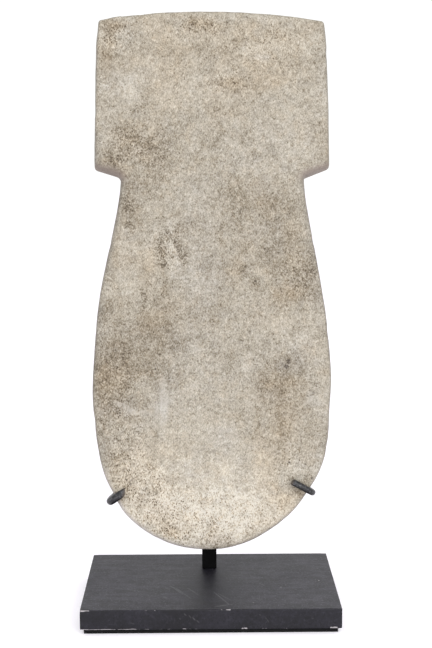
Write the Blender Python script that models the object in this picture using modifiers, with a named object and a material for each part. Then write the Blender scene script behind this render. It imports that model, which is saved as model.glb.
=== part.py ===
"""Shouldered polished stone axe standing on its display stand.

Metres, +Z up, front face towards -Y. The origin is the bottom centre of the
stand, on the surface that it stands on.

The stone is described in its own frame: u to the right, v up from the middle of
the cutting edge, and y through the thickness. That frame leans back a little,
and the back of the stone rests against the top of the post while two bent rods
hold its lower edge.
"""
import math

import bpy
import bmesh
import numpy as np
from mathutils import Vector
from mathutils.geometry import delaunay_2d_cdt

MM = 0.001
GAP = 0.3 * MM                  # between touching pieces

# ---- stand ------------------------------------------------------------------
BASE_W = 152.4 * MM             # block, left to right
BASE_D = 101.6 * MM             # block, front to back
BASE_T = 12.0 * MM              # block thickness
BASE_EDGE = 0.7 * MM            # rounding of its edges
FELT_T = 2.6 * MM               # pad under the block
FELT_INSET = 1.9 * MM           # pad smaller than the block, each side
BASE_Z0 = FELT_T + GAP
BASE_TOP = BASE_Z0 + BASE_T

POST_W = 9.1 * MM               # square bar
POST_X = -0.6 * MM
POST_FRONT = 20.3 * MM          # its front face, behind the block's centre
POST_EDGE = 0.4 * MM

ROD_R = 2.0 * MM                # claws, round rod

# ---- stone: where it stands -------------------------------------------------
LEAN = math.radians(9.0)
TIP_Y = -20.2 * MM
TIP_Z = BASE_TOP + 26.3 * MM

# ---- stone: outline, millimetres, (left, right) -----------------------------
TIP_U = -1.0                    # lowest point of the cutting edge
WIDE_U = (69.6, 72.5)           # half widths at the widest part of the blade
WIDE_V = (101.5, 98.5)          # and its height
BLADE_POWER = 2.83              # fullness of the lower blade
BLADE_ROUND = (2.11, 1.72)
NECK_U = (52.7, 57.2)           # half widths at the neck
NECK_V = (222.9, 222.1)
FLANK_LOW, FLANK_HIGH = 56.0, 25.3   # how far the blade's and the neck's lines run straight up
LEDGE_V = (227.9, 228.0)        # outer end of the shoulders
BUTT_LOW_U = (68.4, 72.5)       # half widths of the butt at the shoulders
BUTT_TOP_U = (65.6, 69.9)       # and at its top corners
BUTT_V = (316.9, 315.6)         # height of the top corners
BUTT_SWELL = 2.8                # the sides stay straight, then draw in near the top
CROWN_V, CROWN_U = 321.7, -5.0  # highest point of the bowed top
CROWN_POWER = (2.7, 2.2)        # bow of the top: 2 is a parabola, more is flatter
CORNER_R = 2.6
LEDGE_R = 1.9
NECK_R = (4.0, 1.8)

# slow hand-ground waver of the edge: side, height, spread, outward bulge
WAVER = (
    ("L", 23.0, 6.0, 0.40), ("L", 34.0, 4.0, -0.50), ("L", 62.0, 9.0, -0.30), ("L", 95.0, 9.0, 0.40),
    ("L", 125.0, 10.0, -0.25), ("L", 155.0, 11.0, 0.30), ("L", 262.0, 14.0, -0.35),
    ("L", 302.0, 6.0, 0.30),
    ("R", 4.0, 3.5, 0.60), ("R", 33.5, 6.0, -0.65), ("R", 55.0, 7.0, 0.30),
    ("R", 82.0, 9.0, -0.75), ("R", 108.0, 9.0, 0.35), ("R", 303.0, 8.0, 0.30),
)

# ---- stone: thickness, millimetres ------------------------------------------
HALF_BODY = 12.4                # half thickness of the body
HALF_TOP = 11.6                 # at the top of the butt
HALF_EDGE = 4.6                 # just above the cutting edge
BEVEL_V = 92.0                  # where the faces start to close in
BEVEL_POWER = 2.2
CROWN_ACROSS = 0.9              # the faces fall off a little towards the sides
EDGE_SIDE = 2.6                 # width of the rounded edge along the sides
EDGE_LEDGE = 2.4                # added under the shoulders
EDGE_TIP = 1.2                  # added along the cutting edge
EDGE_POWER = 2.5                # section of the edge: 2 is an ellipse, more is squarer


# ---- small helpers ----------------------------------------------------------
def ease(a, b, x):
    t = np.clip((x - a) / (b - a), 0.0, 1.0)
    return t * t * (3.0 - 2.0 * t)


def bezier(p0, p1, p2, p3, n):
    t = np.linspace(0.0, 1.0, n)[:, None]
    return ((1 - t) ** 3 * p0 + 3 * (1 - t) ** 2 * t * p1
            + 3 * (1 - t) * t * t * p2 + t ** 3 * p3)


def corner_arc(a, b, c, r, n):
    """Arc of radius r that rounds the corner b between a and c."""
    d1 = (a - b) / np.linalg.norm(a - b)
    d2 = (c - b) / np.linalg.norm(c - b)
    ang = math.acos(float(np.clip(d1 @ d2, -1, 1)))
    t = r / math.tan(ang / 2)
    p1, p2 = b + d1 * t, b + d2 * t
    m = b + (d1 + d2) / np.linalg.norm(d1 + d2) * (r / math.sin(ang / 2))
    a1 = math.atan2(p1[1] - m[1], p1[0] - m[0])
    a2 = math.atan2(p2[1] - m[1], p2[0] - m[0])
    da = (a2 - a1 + math.pi) % (2 * math.pi) - math.pi
    th = a1 + da * np.linspace(0.0, 1.0, n)
    return m + r * np.stack([np.cos(th), np.sin(th)], -1)


def link(name, collection, mesh_or_curve):
    ob = bpy.data.objects.new(name, mesh_or_curve)
    collection.objects.link(ob)
    return ob


def material(name, rgb, roughness, metallic=0.0):
    m = bpy.data.materials.new(name)
    m.use_nodes = True
    s = m.node_tree.nodes["Principled BSDF"]
    s.inputs["Base Color"].default_value = (rgb[0], rgb[1], rgb[2], 1.0)
    s.inputs["Roughness"].default_value = roughness
    s.inputs["Metallic"].default_value = metallic
    m.diffuse_color = (rgb[0], rgb[1], rgb[2], 1.0)
    return m


# ---- stone ------------------------------------------------------------------
def half_outline(side, fine):
    """One side of the outline, from the cutting edge up to the top's crown.
    Both sides are drawn as if on the right; fine scales the number of points."""
    k = 1 if side == "R" else 0
    s = 1.0 if side == "R" else -1.0
    n = lambda base: max(3, int(round(base * fine)))
    # lower blade: a full oval from the cutting edge to the widest part
    v = WIDE_V[k] * (1.0 - np.cos(np.linspace(0.0, 1.0, n(26)) * math.pi / 2))
    t = (WIDE_V[k] - v) / WIDE_V[k]
    u = s * TIP_U + (WIDE_U[k] - s * TIP_U) * np.maximum(0.0, 1.0 - t ** BLADE_POWER) ** (1.0 / BLADE_ROUND[k])
    low = np.stack([u, v], -1)
    # flank: one long curve in to the neck
    wide = np.array([WIDE_U[k], WIDE_V[k]])
    neck = np.array([NECK_U[k], NECK_V[k]])
    flank = bezier(wide, wide + [0, FLANK_LOW], neck - [0, FLANK_HIGH], neck, n(22))[1:]
    # shoulder, side of the butt, bowed top
    out = np.array([BUTT_LOW_U[k], LEDGE_V[k]])
    top = np.array([BUTT_TOP_U[k], BUTT_V[k]])
    x = np.linspace(0.0, 1.0, n(22))
    butt = np.stack([out[0] + (top[0] - out[0]) * x ** BUTT_SWELL, out[1] + (top[1] - out[1]) * x], -1)
    uc = s * CROWN_U
    cu = top[0] + (uc - top[0]) * np.linspace(0.0, 1.0, n(16))
    crown = np.stack([cu, CROWN_V - (CROWN_V - top[1]) * ((cu - uc) / (top[0] - uc)) ** CROWN_POWER[k]], -1)
    root = corner_arc(flank[-2], neck, out, NECK_R[k], n(5))
    ledge = corner_arc(neck, out, butt[1], LEDGE_R, n(5))
    corner = corner_arc(butt[-2], top, crown[1], CORNER_R, n(5))
    body = np.concatenate([low, flank])
    body = body[body[:, 1] < root[0, 1] - 0.6]
    butt = butt[(butt[:, 1] > ledge[-1, 1] + 0.8) & (butt[:, 1] < corner[0, 1] - 0.8)]
    crown = crown[crown[:, 0] < corner[-1, 0] - 0.8]
    run = root[-1] + (ledge[0] - root[-1]) * np.linspace(0.0, 1.0, n(4) + 2)[1:-1, None]
    pts = np.concatenate([body, root, run, ledge, butt, corner, crown])
    # waver, along the outline's own outward normal
    tan = np.gradient(pts, axis=0)
    tan /= np.maximum(np.linalg.norm(tan, axis=1, keepdims=True), 1e-9)
    nrm = np.stack([tan[:, 1], -tan[:, 0]], -1)
    bulge = np.zeros(len(pts))
    for w_side, w_v, w_s, w_a in WAVER:
        if w_side == side:
            bulge += w_a * np.exp(-0.5 * ((pts[:, 1] - w_v) / w_s) ** 2)
    bulge *= ease(0.0, 6.0, np.abs(pts[:, 0] - s * TIP_U))
    pts = pts + nrm * bulge[:, None]
    return pts * np.array([s, 1.0])


def outline(fine=1.0):
    """Closed outline, anticlockwise seen from the front."""
    right = half_outline("R", fine)
    left = half_outline("L", fine)[::-1][1:-1]
    return np.concatenate([right, left])


def half_thickness(u, v):
    body = HALF_BODY + (HALF_TOP - HALF_BODY) * ease(230.0, 322.0, v)
    t = np.clip((BEVEL_V - v) / BEVEL_V, 0.0, 1.0)
    h = HALF_EDGE + (body - HALF_EDGE) * (1.0 - t ** BEVEL_POWER)
    return h - CROWN_ACROSS * (np.abs(u - 1.4) / 71.0) ** 2.4 * ease(0.0, 60.0, v)


def edge_width(v):
    return (EDGE_SIDE + EDGE_LEDGE * np.exp(-0.5 * ((v - 224.5) / 3.2) ** 2)
            + EDGE_TIP * (1.0 - ease(0.0, 40.0, v)))


def inward(loop):
    """Unit normals of a closed anticlockwise loop, pointing in."""
    tan = np.roll(loop, -1, 0) - np.roll(loop, 1, 0)
    tan /= np.linalg.norm(tan, axis=1, keepdims=True)
    return np.stack([-tan[:, 1], tan[:, 0]], -1)


def distance_to(loop, q):
    """Distance from each point of q to the closed loop."""
    a, b = loop, np.roll(loop, -1, 0)
    ab = b - a
    best = np.full(len(q), 1e9)
    for i in range(len(a)):
        t = np.clip(((q - a[i]) @ ab[i]) / max(ab[i] @ ab[i], 1e-12), 0, 1)
        best = np.minimum(best, np.linalg.norm(q - (a[i] + t[:, None] * ab[i]), axis=1))
    return best


def face_height(p, dist):
    """Height of the face over the middle plane, at a distance in from the edge."""
    t = np.clip(dist / edge_width(p[:, 1]), 0.0, 1.0)
    return half_thickness(p[:, 0], p[:, 1]) * (1.0 - (1.0 - t) ** EDGE_POWER) ** (1.0 / EDGE_POWER)


def build_stone(collection):
    loop = outline()
    n = len(loop)
    nrm = inward(loop)
    wid = edge_width(loop[:, 1])
    # rings that roll from the middle ridge round to the face
    rings = []
    for deg in (0.0, 22.0, 44.0, 64.0):
        c, s = math.cos(math.radians(deg)), math.sin(math.radians(deg))
        d = wid * (1.0 - c ** (2.0 / EDGE_POWER))
        rings.append((loop + nrm * d[:, None], s ** (2.0 / EDGE_POWER)))
    rim = rings[-1][0]
    # the face: the last ring, one more line where the edge ends, and rows across
    shelf = loop + nrm * wid[:, None]
    shelf = shelf[distance_to(loop, shelf) > 0.97 * wid]
    rows = []
    step_u, step_v = 12.0, 9.0
    for j, v in enumerate(np.arange(6.0, 320.0, step_v)):
        off = 0.0 if j % 2 else step_u / 2
        for u in np.arange(-72.0 + off, 74.0, step_u):
            rows.append((u, v))
    rows = np.array(rows)
    inside = distance_to(loop, rows)
    # a point is inside when the winding angle of the outline round it is a full turn
    rel = loop[None, :, :] - rows[:, None, :]
    ang = np.arctan2(rel[..., 1], rel[..., 0])
    turn = (np.roll(ang, -1, 1) - ang + math.pi) % (2 * math.pi) - math.pi
    rows = rows[(np.abs(turn.sum(1)) > 3.0) & (inside > 7.0)]
    pts2 = [Vector((float(p[0]), float(p[1]))) for p in np.concatenate([rim, shelf, rows])]
    res = delaunay_2d_cdt(pts2, [], [list(range(n))], 1, 1e-5)
    flat = np.array([(v[0], v[1]) for v in res[0]])
    high = face_height(flat, distance_to(loop, flat))
    # the rim keeps its own height, so that the faces meet the rings exactly
    first = [ids[0] if ids else -1 for ids in res[3]]

    verts, faces = [], []

    def put(u, y, v):
        verts.append((u * MM, y * MM, v * MM))
        return len(verts) - 1

    h_loop = half_thickness(loop[:, 0], loop[:, 1])
    ridge = [put(p[0], 0.0, p[1]) for p in loop]
    for sign in (-1.0, 1.0):
        prev = ridge
        for ring, frac in rings[1:]:
            cur = [put(ring[i][0], sign * h_loop[i] * frac, ring[i][1]) for i in range(n)]
            for i in range(n):
                k = (i + 1) % n
                quad = (prev[i], prev[k], cur[k], cur[i])
                faces.append(quad if sign > 0 else quad[::-1])
            prev = cur
        index = []
        for i, p in enumerate(flat):
            index.append(prev[first[i]] if 0 <= first[i] < n else put(p[0], sign * high[i], p[1]))
        for tri in res[2]:
            f = tuple(index[i] for i in tri)
            faces.append(f if sign > 0 else f[::-1])
    mesh = bpy.data.meshes.new("stone_axe")
    mesh.from_pydata(verts, [], faces)
    bm = bmesh.new()
    bm.from_mesh(mesh)
    bmesh.ops.recalc_face_normals(bm, faces=bm.faces)
    bm.to_mesh(mesh)
    bm.free()
    mesh.shade_smooth()
    ob = link("stone_axe", collection, mesh)
    ob.location = (0.0, TIP_Y, TIP_Z)
    ob.rotation_euler = (-LEAN, 0.0, 0.0)
    return ob


def from_stone(u, y, v):
    """World point of a point in the stone's frame, given in millimetres."""
    return np.array([u * MM,
                     TIP_Y + (y * math.cos(LEAN) + v * math.sin(LEAN)) * MM,
                     TIP_Z + (-y * math.sin(LEAN) + v * math.cos(LEAN)) * MM])


# ---- stand ------------------------------------------------------------------
def block(name, collection, size, centre, edge=0.0):
    bm = bmesh.new()
    bmesh.ops.create_cube(bm, size=1.0)
    for v in bm.verts:
        v.co = Vector((v.co.x * size[0], v.co.y * size[1], v.co.z * size[2]))
    mesh = bpy.data.meshes.new(name)
    bm.to_mesh(mesh)
    bm.free()
    ob = link(name, collection, mesh)
    ob.location = centre
    if edge > 0.0:
        mod = ob.modifiers.new("edges", "BEVEL")
        mod.width = edge
        mod.segments = 2
        mod.limit_method = "ANGLE"
    return ob


def post_top():
    """Height at which the leaning back of the stone reaches the post's front."""
    v = 180.0
    for _ in range(20):
        h = float(half_thickness(np.array(POST_X / MM), np.array(v))) + GAP / MM
        v = ((POST_FRONT - TIP_Y) / MM - h * math.cos(LEAN)) / math.sin(LEAN)
    return from_stone(0.0, h, v)[2]


def rod_path(corners, radius, step_deg=15.0):
    """Polyline through the corners, each inner one rounded to the radius."""
    pts = [corners[0]]
    for a, b, c in zip(corners, corners[1:], corners[2:]):
        d1 = (a - b) / np.linalg.norm(a - b)
        d2 = (c - b) / np.linalg.norm(c - b)
        ang = math.acos(float(np.clip(d1 @ d2, -1, 1)))
        t = radius / math.tan(ang / 2)
        bis = (d1 + d2) / np.linalg.norm(d1 + d2)
        m = b + bis * (radius / math.sin(ang / 2))
        p1, p2 = b + d1 * t, b + d2 * t
        e1, e2 = p1 - m, p2 - m
        sweep = math.pi - ang
        n = max(2, int(math.ceil(math.degrees(sweep) / step_deg)))
        for i in range(n + 1):
            f = i / n
            w = (math.sin((1 - f) * sweep) * e1 + math.sin(f * sweep) * e2) / math.sin(sweep)
            pts.append(m + w)
    pts.append(corners[-1])
    return pts


# claws in the stone's frame, millimetres: tip of the front leg, front elbow,
# back elbow; the front leg lies just proud of the face (y), the back arm behind
# it. The left rod is cut off plumb, the right one square to its length. A swell
# makes the bends thicker, and the rod tapers from there to its tip.
CLAW_BACK_Y = 12.4
CLAW_BEND = 6.5 * MM
CLAW_L = dict(tip=(-50.5, 36.3), front=(-59.3, 30.2), back=(-59.4, 29.5), y=-12.1, start_x=-2.3, plumb=True,
              swell=0.45)
CLAW_R = dict(tip=(48.3, 41.5), front=(60.8, 34.7), back=(60.6, 33.6), y=-12.2, start_x=0.9, plumb=False,
              swell=0.0)
ARM_Z = BASE_TOP + 88.0 * MM    # where the arms leave the post
ROD_SIDES = 12


def build_claw(name, collection, c):
    tip = from_stone(c["tip"][0], c["y"], c["tip"][1])
    front = from_stone(c["front"][0], c["y"], c["front"][1])
    back = from_stone(c["back"][0], CLAW_BACK_Y, c["back"][1])
    start = np.array([c["start_x"] * MM, POST_FRONT - GAP - ROD_R, ARM_Z])
    pts = rod_path([tip, front, back, start], CLAW_BEND)
    runs = [(b - a) / np.linalg.norm(b - a) for a, b in zip(pts, pts[1:])]
    axis = runs[:1] + [(a + b) / np.linalg.norm(a + b) for a, b in zip(runs, runs[1:])] + runs[-1:]
    side = np.cross(axis[0], (0.0, 0.0, 1.0))
    verts, faces = [], []
    for k, (p, t) in enumerate(zip(pts, axis)):
        side = side - t * (side @ t)
        side /= np.linalg.norm(side)
        up = np.cross(t, side)
        r = ROD_R + (c["swell"] * MM if 0 < k < len(pts) - 1 else 0.0)
        for j in range(ROD_SIDES):
            a = 2 * math.pi * j / ROD_SIDES
            d = (side * math.cos(a) + up * math.sin(a)) * r
            if k == 0 and c["plumb"]:
                d = d - t * (d[0] / t[0])       # slides along the rod onto the plumb cut
            verts.append(tuple(p + d))
    n = ROD_SIDES
    for k in range(len(pts) - 1):
        for j in range(n):
            i = (j + 1) % n
            faces.append((k * n + j, (k + 1) * n + j, (k + 1) * n + i, k * n + i))
    faces.append(tuple(range(n)))
    faces.append(tuple(range(len(verts) - 1, len(verts) - 1 - n, -1)))
    me = bpy.data.meshes.new(name)
    me.from_pydata(verts, [], faces)
    me.validate()
    bm = bmesh.new()
    bm.from_mesh(me)
    bmesh.ops.recalc_face_normals(bm, faces=bm.faces)
    bm.to_mesh(me)
    bm.free()
    return link(name, collection, me)


def main():
    for ob in list(bpy.data.objects):
        bpy.data.objects.remove(ob)
    parts = bpy.data.collections.new("stone_axe_on_stand")
    bpy.context.scene.collection.children.link(parts)

    stone = build_stone(parts)
    stone.data.materials.append(material("stone", (0.50, 0.45, 0.37), 0.75))

    base = block("stand_base", parts, (BASE_W, BASE_D, BASE_T), (0, 0, BASE_Z0 + BASE_T / 2), BASE_EDGE)
    base.data.materials.append(material("stand_grey", (0.055, 0.057, 0.062), 0.45))
    felt = block("base_felt", parts,
                 (BASE_W - 2 * FELT_INSET, BASE_D - 2 * FELT_INSET, FELT_T), (0, 0, FELT_T / 2))
    felt.data.materials.append(material("felt_black", (0.012, 0.012, 0.013), 0.95))

    foot, head = BASE_TOP + GAP, post_top()
    post = block("stand_post", parts, (POST_W, POST_W, head - foot),
                 (POST_X, POST_FRONT + POST_W / 2, (foot + head) / 2), POST_EDGE)
    post.data.materials.append(material("post_black", (0.012, 0.012, 0.013), 0.40))

    for name, c in (("claw_left", CLAW_L), ("claw_right", CLAW_R)):
        claw = build_claw(name, parts, c)
        claw.data.materials.append(material(name + "_grey", (0.050, 0.052, 0.058), 0.45))


main()
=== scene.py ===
"""Looks of the shouldered stone axe on its stand.

Everything is in metres in the row frame: +Z up, front face towards -Y. Lengths in
the tables are millimetres. The stone is made in its own frame (u right, v up from
the cutting edge, y through the thickness), which leans back as the CAD has it.
"""
import math

import bpy
import bmesh
import numpy as np
from mathutils import Matrix, Vector
from mathutils.geometry import delaunay_2d_cdt


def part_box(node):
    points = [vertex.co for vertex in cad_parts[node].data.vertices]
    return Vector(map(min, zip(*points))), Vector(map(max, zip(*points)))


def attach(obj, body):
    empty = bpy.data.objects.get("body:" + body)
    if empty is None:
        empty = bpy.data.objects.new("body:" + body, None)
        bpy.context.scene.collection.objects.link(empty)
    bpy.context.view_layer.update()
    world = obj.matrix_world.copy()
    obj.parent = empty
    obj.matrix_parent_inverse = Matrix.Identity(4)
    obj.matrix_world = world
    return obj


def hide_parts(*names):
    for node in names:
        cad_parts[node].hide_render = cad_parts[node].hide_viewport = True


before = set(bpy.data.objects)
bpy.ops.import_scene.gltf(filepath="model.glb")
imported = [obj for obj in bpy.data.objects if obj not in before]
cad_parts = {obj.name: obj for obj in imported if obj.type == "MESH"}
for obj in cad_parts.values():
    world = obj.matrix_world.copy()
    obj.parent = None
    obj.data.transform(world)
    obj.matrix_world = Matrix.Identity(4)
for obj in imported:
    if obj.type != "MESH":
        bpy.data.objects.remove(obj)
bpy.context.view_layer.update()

scene = bpy.context.scene
MM = 0.001

# ============================================================================
# 1. Sizes shared with the CAD
# ============================================================================
GAP = 0.3
BASE_W, BASE_D, BASE_T = 152.4, 101.6, 12.0
FELT_T, FELT_INSET = 2.6, 1.9
BASE_Z0 = FELT_T + GAP
BASE_TOP = BASE_Z0 + BASE_T
POST_W, POST_X, POST_FRONT = 9.1, -0.6, 20.3
ROD_R = 2.0
LEAN = math.radians(9.0)
TIP_Y, TIP_Z = -20.2, BASE_TOP + 26.3

TIP_U = -1.0
WIDE_U, WIDE_V = (69.6, 72.5), (101.5, 98.5)
BLADE_POWER, BLADE_ROUND = 2.83, (2.11, 1.72)
NECK_U, NECK_V = (52.7, 57.2), (222.9, 222.1)
FLANK_LOW, FLANK_HIGH = 56.0, 25.3
LEDGE_V = (227.9, 228.0)
BUTT_LOW_U, BUTT_TOP_U, BUTT_V = (68.4, 72.5), (65.6, 69.9), (316.9, 315.6)
BUTT_SWELL = 2.8
CROWN_V, CROWN_U, CROWN_POWER = 321.7, -5.0, (2.7, 2.2)
CORNER_R, LEDGE_R, NECK_R = 2.6, 1.9, (4.0, 1.8)
WAVER = (
    ("L", 23.0, 6.0, 0.40), ("L", 34.0, 4.0, -0.50), ("L", 62.0, 9.0, -0.30), ("L", 95.0, 9.0, 0.40),
    ("L", 125.0, 10.0, -0.25), ("L", 155.0, 11.0, 0.30), ("L", 262.0, 14.0, -0.35),
    ("L", 302.0, 6.0, 0.30),
    ("R", 4.0, 3.5, 0.60), ("R", 33.5, 6.0, -0.65), ("R", 55.0, 7.0, 0.30),
    ("R", 82.0, 9.0, -0.75), ("R", 108.0, 9.0, 0.35), ("R", 303.0, 8.0, 0.30),
)
HALF_BODY, HALF_TOP, HALF_EDGE = 12.4, 11.6, 4.6
BEVEL_V, BEVEL_POWER, CROWN_ACROSS = 92.0, 2.2, 0.9
EDGE_SIDE, EDGE_LEDGE, EDGE_TIP, EDGE_POWER = 2.6, 2.4, 1.2, 2.5


# ============================================================================
# 2. Small helpers
# ============================================================================
def ease(a, b, x):
    t = np.clip((x - a) / (b - a), 0.0, 1.0)
    return t * t * (3.0 - 2.0 * t)


def bezier(p0, p1, p2, p3, n):
    t = np.linspace(0.0, 1.0, n)[:, None]
    return ((1 - t) ** 3 * p0 + 3 * (1 - t) ** 2 * t * p1
            + 3 * (1 - t) * t * t * p2 + t ** 3 * p3)


def corner_arc(a, b, c, r, n):
    d1 = (a - b) / np.linalg.norm(a - b)
    d2 = (c - b) / np.linalg.norm(c - b)
    ang = math.acos(float(np.clip(d1 @ d2, -1, 1)))
    t = r / math.tan(ang / 2)
    p1, p2 = b + d1 * t, b + d2 * t
    m = b + (d1 + d2) / np.linalg.norm(d1 + d2) * (r / math.sin(ang / 2))
    a1 = math.atan2(p1[1] - m[1], p1[0] - m[0])
    a2 = math.atan2(p2[1] - m[1], p2[0] - m[0])
    da = (a2 - a1 + math.pi) % (2 * math.pi) - math.pi
    th = a1 + da * np.linspace(0.0, 1.0, n)
    return m + r * np.stack([np.cos(th), np.sin(th)], -1)


class Lumps:
    """Smooth lattice noise with a fixed seed, about -1 to 1."""

    def __init__(self, seed):
        rng = np.random.default_rng(seed)
        self.perm = rng.permutation(256)
        g = rng.normal(size=(256, 3))
        self.grad = g / np.linalg.norm(g, axis=1, keepdims=True)

    def __call__(self, p, size):
        q = np.asarray(p, float) / size
        cell = np.floor(q).astype(int)
        f = q - cell
        w = f * f * f * (f * (f * 6 - 15) + 10)
        total = np.zeros(len(q))
        for dx in (0, 1):
            for dy in (0, 1):
                for dz in (0, 1):
                    h = self.perm[(cell[:, 0] + dx) & 255]
                    h = self.perm[(h + cell[:, 1] + dy) & 255]
                    h = self.perm[(h + cell[:, 2] + dz) & 255]
                    d = f - (dx, dy, dz)
                    k = ((w[:, 0] if dx else 1 - w[:, 0])
                         * (w[:, 1] if dy else 1 - w[:, 1])
                         * (w[:, 2] if dz else 1 - w[:, 2]))
                    total += k * (self.grad[h] * d).sum(1)
        return total * 1.6


def new_object(name, verts, faces, smooth=True):
    me = bpy.data.meshes.new(name)
    me.from_pydata([tuple(map(float, v)) for v in verts], [], faces)
    me.validate(clean_customdata=False)
    bm = bmesh.new()
    bm.from_mesh(me)
    bmesh.ops.recalc_face_normals(bm, faces=bm.faces)
    bm.to_mesh(me)
    bm.free()
    if smooth:
        me.shade_smooth()
    ob = bpy.data.objects.new(name, me)
    scene.collection.objects.link(ob)
    return ob


def vertex_normals(me):
    me.update()
    n = np.zeros(len(me.vertices) * 3, np.float32)
    me.vertex_normals.foreach_get("vector", n)
    return n.reshape(-1, 3).astype(float)


def get_points(me):
    co = np.zeros(len(me.vertices) * 3, np.float32)
    me.vertices.foreach_get("co", co)
    return co.reshape(-1, 3).astype(float)


def set_points(me, co):
    me.vertices.foreach_set("co", np.asarray(co, np.float32).ravel())
    me.update()


def set_mask(me, name, values):
    a = me.attributes.new(name, "FLOAT", "POINT")
    a.data.foreach_set("value", np.asarray(values, np.float32))


# ============================================================================
# 3. Outline of the stone (as in the CAD)
# ============================================================================
def half_outline(side, fine):
    k = 1 if side == "R" else 0
    s = 1.0 if side == "R" else -1.0
    n = lambda base: max(3, int(round(base * fine)))
    v = WIDE_V[k] * (1.0 - np.cos(np.linspace(0.0, 1.0, n(26)) * math.pi / 2))
    t = (WIDE_V[k] - v) / WIDE_V[k]
    u = s * TIP_U + (WIDE_U[k] - s * TIP_U) * np.maximum(0.0, 1.0 - t ** BLADE_POWER) ** (1.0 / BLADE_ROUND[k])
    low = np.stack([u, v], -1)
    wide = np.array([WIDE_U[k], WIDE_V[k]])
    neck = np.array([NECK_U[k], NECK_V[k]])
    flank = bezier(wide, wide + [0, FLANK_LOW], neck - [0, FLANK_HIGH], neck, n(22))[1:]
    out = np.array([BUTT_LOW_U[k], LEDGE_V[k]])
    top = np.array([BUTT_TOP_U[k], BUTT_V[k]])
    x = np.linspace(0.0, 1.0, n(22))
    butt = np.stack([out[0] + (top[0] - out[0]) * x ** BUTT_SWELL, out[1] + (top[1] - out[1]) * x], -1)
    uc = s * CROWN_U
    cu = top[0] + (uc - top[0]) * np.linspace(0.0, 1.0, n(16))
    crown = np.stack([cu, CROWN_V - (CROWN_V - top[1]) * ((cu - uc) / (top[0] - uc)) ** CROWN_POWER[k]], -1)
    root = corner_arc(flank[-2], neck, out, NECK_R[k], n(5))
    ledge = corner_arc(neck, out, butt[1], LEDGE_R, n(5))
    corner = corner_arc(butt[-2], top, crown[1], CORNER_R, n(5))
    body = np.concatenate([low, flank])
    body = body[body[:, 1] < root[0, 1] - 0.3]
    butt = butt[(butt[:, 1] > ledge[-1, 1] + 0.4) & (butt[:, 1] < corner[0, 1] - 0.4)]
    crown = crown[crown[:, 0] < corner[-1, 0] - 0.4]
    run = root[-1] + (ledge[0] - root[-1]) * np.linspace(0.0, 1.0, n(4) + 2)[1:-1, None]
    pts = np.concatenate([body, root, run, ledge, butt, corner, crown])
    tan = np.gradient(pts, axis=0)
    tan /= np.maximum(np.linalg.norm(tan, axis=1, keepdims=True), 1e-9)
    nrm = np.stack([tan[:, 1], -tan[:, 0]], -1)
    bulge = np.zeros(len(pts))
    for w_side, w_v, w_s, w_a in WAVER:
        if w_side == side:
            bulge += w_a * np.exp(-0.5 * ((pts[:, 1] - w_v) / w_s) ** 2)
    bulge *= ease(0.0, 6.0, np.abs(pts[:, 0] - s * TIP_U))
    return (pts + nrm * bulge[:, None]) * np.array([s, 1.0])


def outline(fine, step):
    """Closed outline, anticlockwise from the front, with even steps."""
    pts = np.concatenate([half_outline("R", fine), half_outline("L", fine)[::-1][1:-1]])
    ring = np.concatenate([pts, pts[:1]])
    run = np.concatenate([[0.0], np.cumsum(np.linalg.norm(np.diff(ring, axis=0), axis=1))])
    count = int(round(run[-1] / step))
    s = np.arange(count) * run[-1] / count
    return np.stack([np.interp(s, run, ring[:, 0]), np.interp(s, run, ring[:, 1])], -1)


def half_thickness(u, v):
    body = HALF_BODY + (HALF_TOP - HALF_BODY) * ease(230.0, 322.0, v)
    t = np.clip((BEVEL_V - v) / BEVEL_V, 0.0, 1.0)
    h = HALF_EDGE + (body - HALF_EDGE) * (1.0 - t ** BEVEL_POWER)
    return h - CROWN_ACROSS * (np.abs(u - 1.4) / 71.0) ** 2.4 * ease(0.0, 60.0, v)


def edge_width(v):
    return (EDGE_SIDE + EDGE_LEDGE * np.exp(-0.5 * ((v - 224.5) / 3.2) ** 2)
            + EDGE_TIP * (1.0 - ease(0.0, 40.0, v)))


def inward(loop):
    tan = np.roll(loop, -1, 0) - np.roll(loop, 1, 0)
    tan /= np.linalg.norm(tan, axis=1, keepdims=True)
    return np.stack([-tan[:, 1], tan[:, 0]], -1)


def distance_to(loop, q):
    a, b = loop, np.roll(loop, -1, 0)
    ab = b - a
    best = np.full(len(q), 1e9)
    for i in range(len(a)):
        t = np.clip(((q - a[i]) @ ab[i]) / max(ab[i] @ ab[i], 1e-12), 0, 1)
        d = q - (a[i] + t[:, None] * ab[i])
        best = np.minimum(best, d[:, 0] ** 2 + d[:, 1] ** 2)
    return np.sqrt(best)


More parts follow.
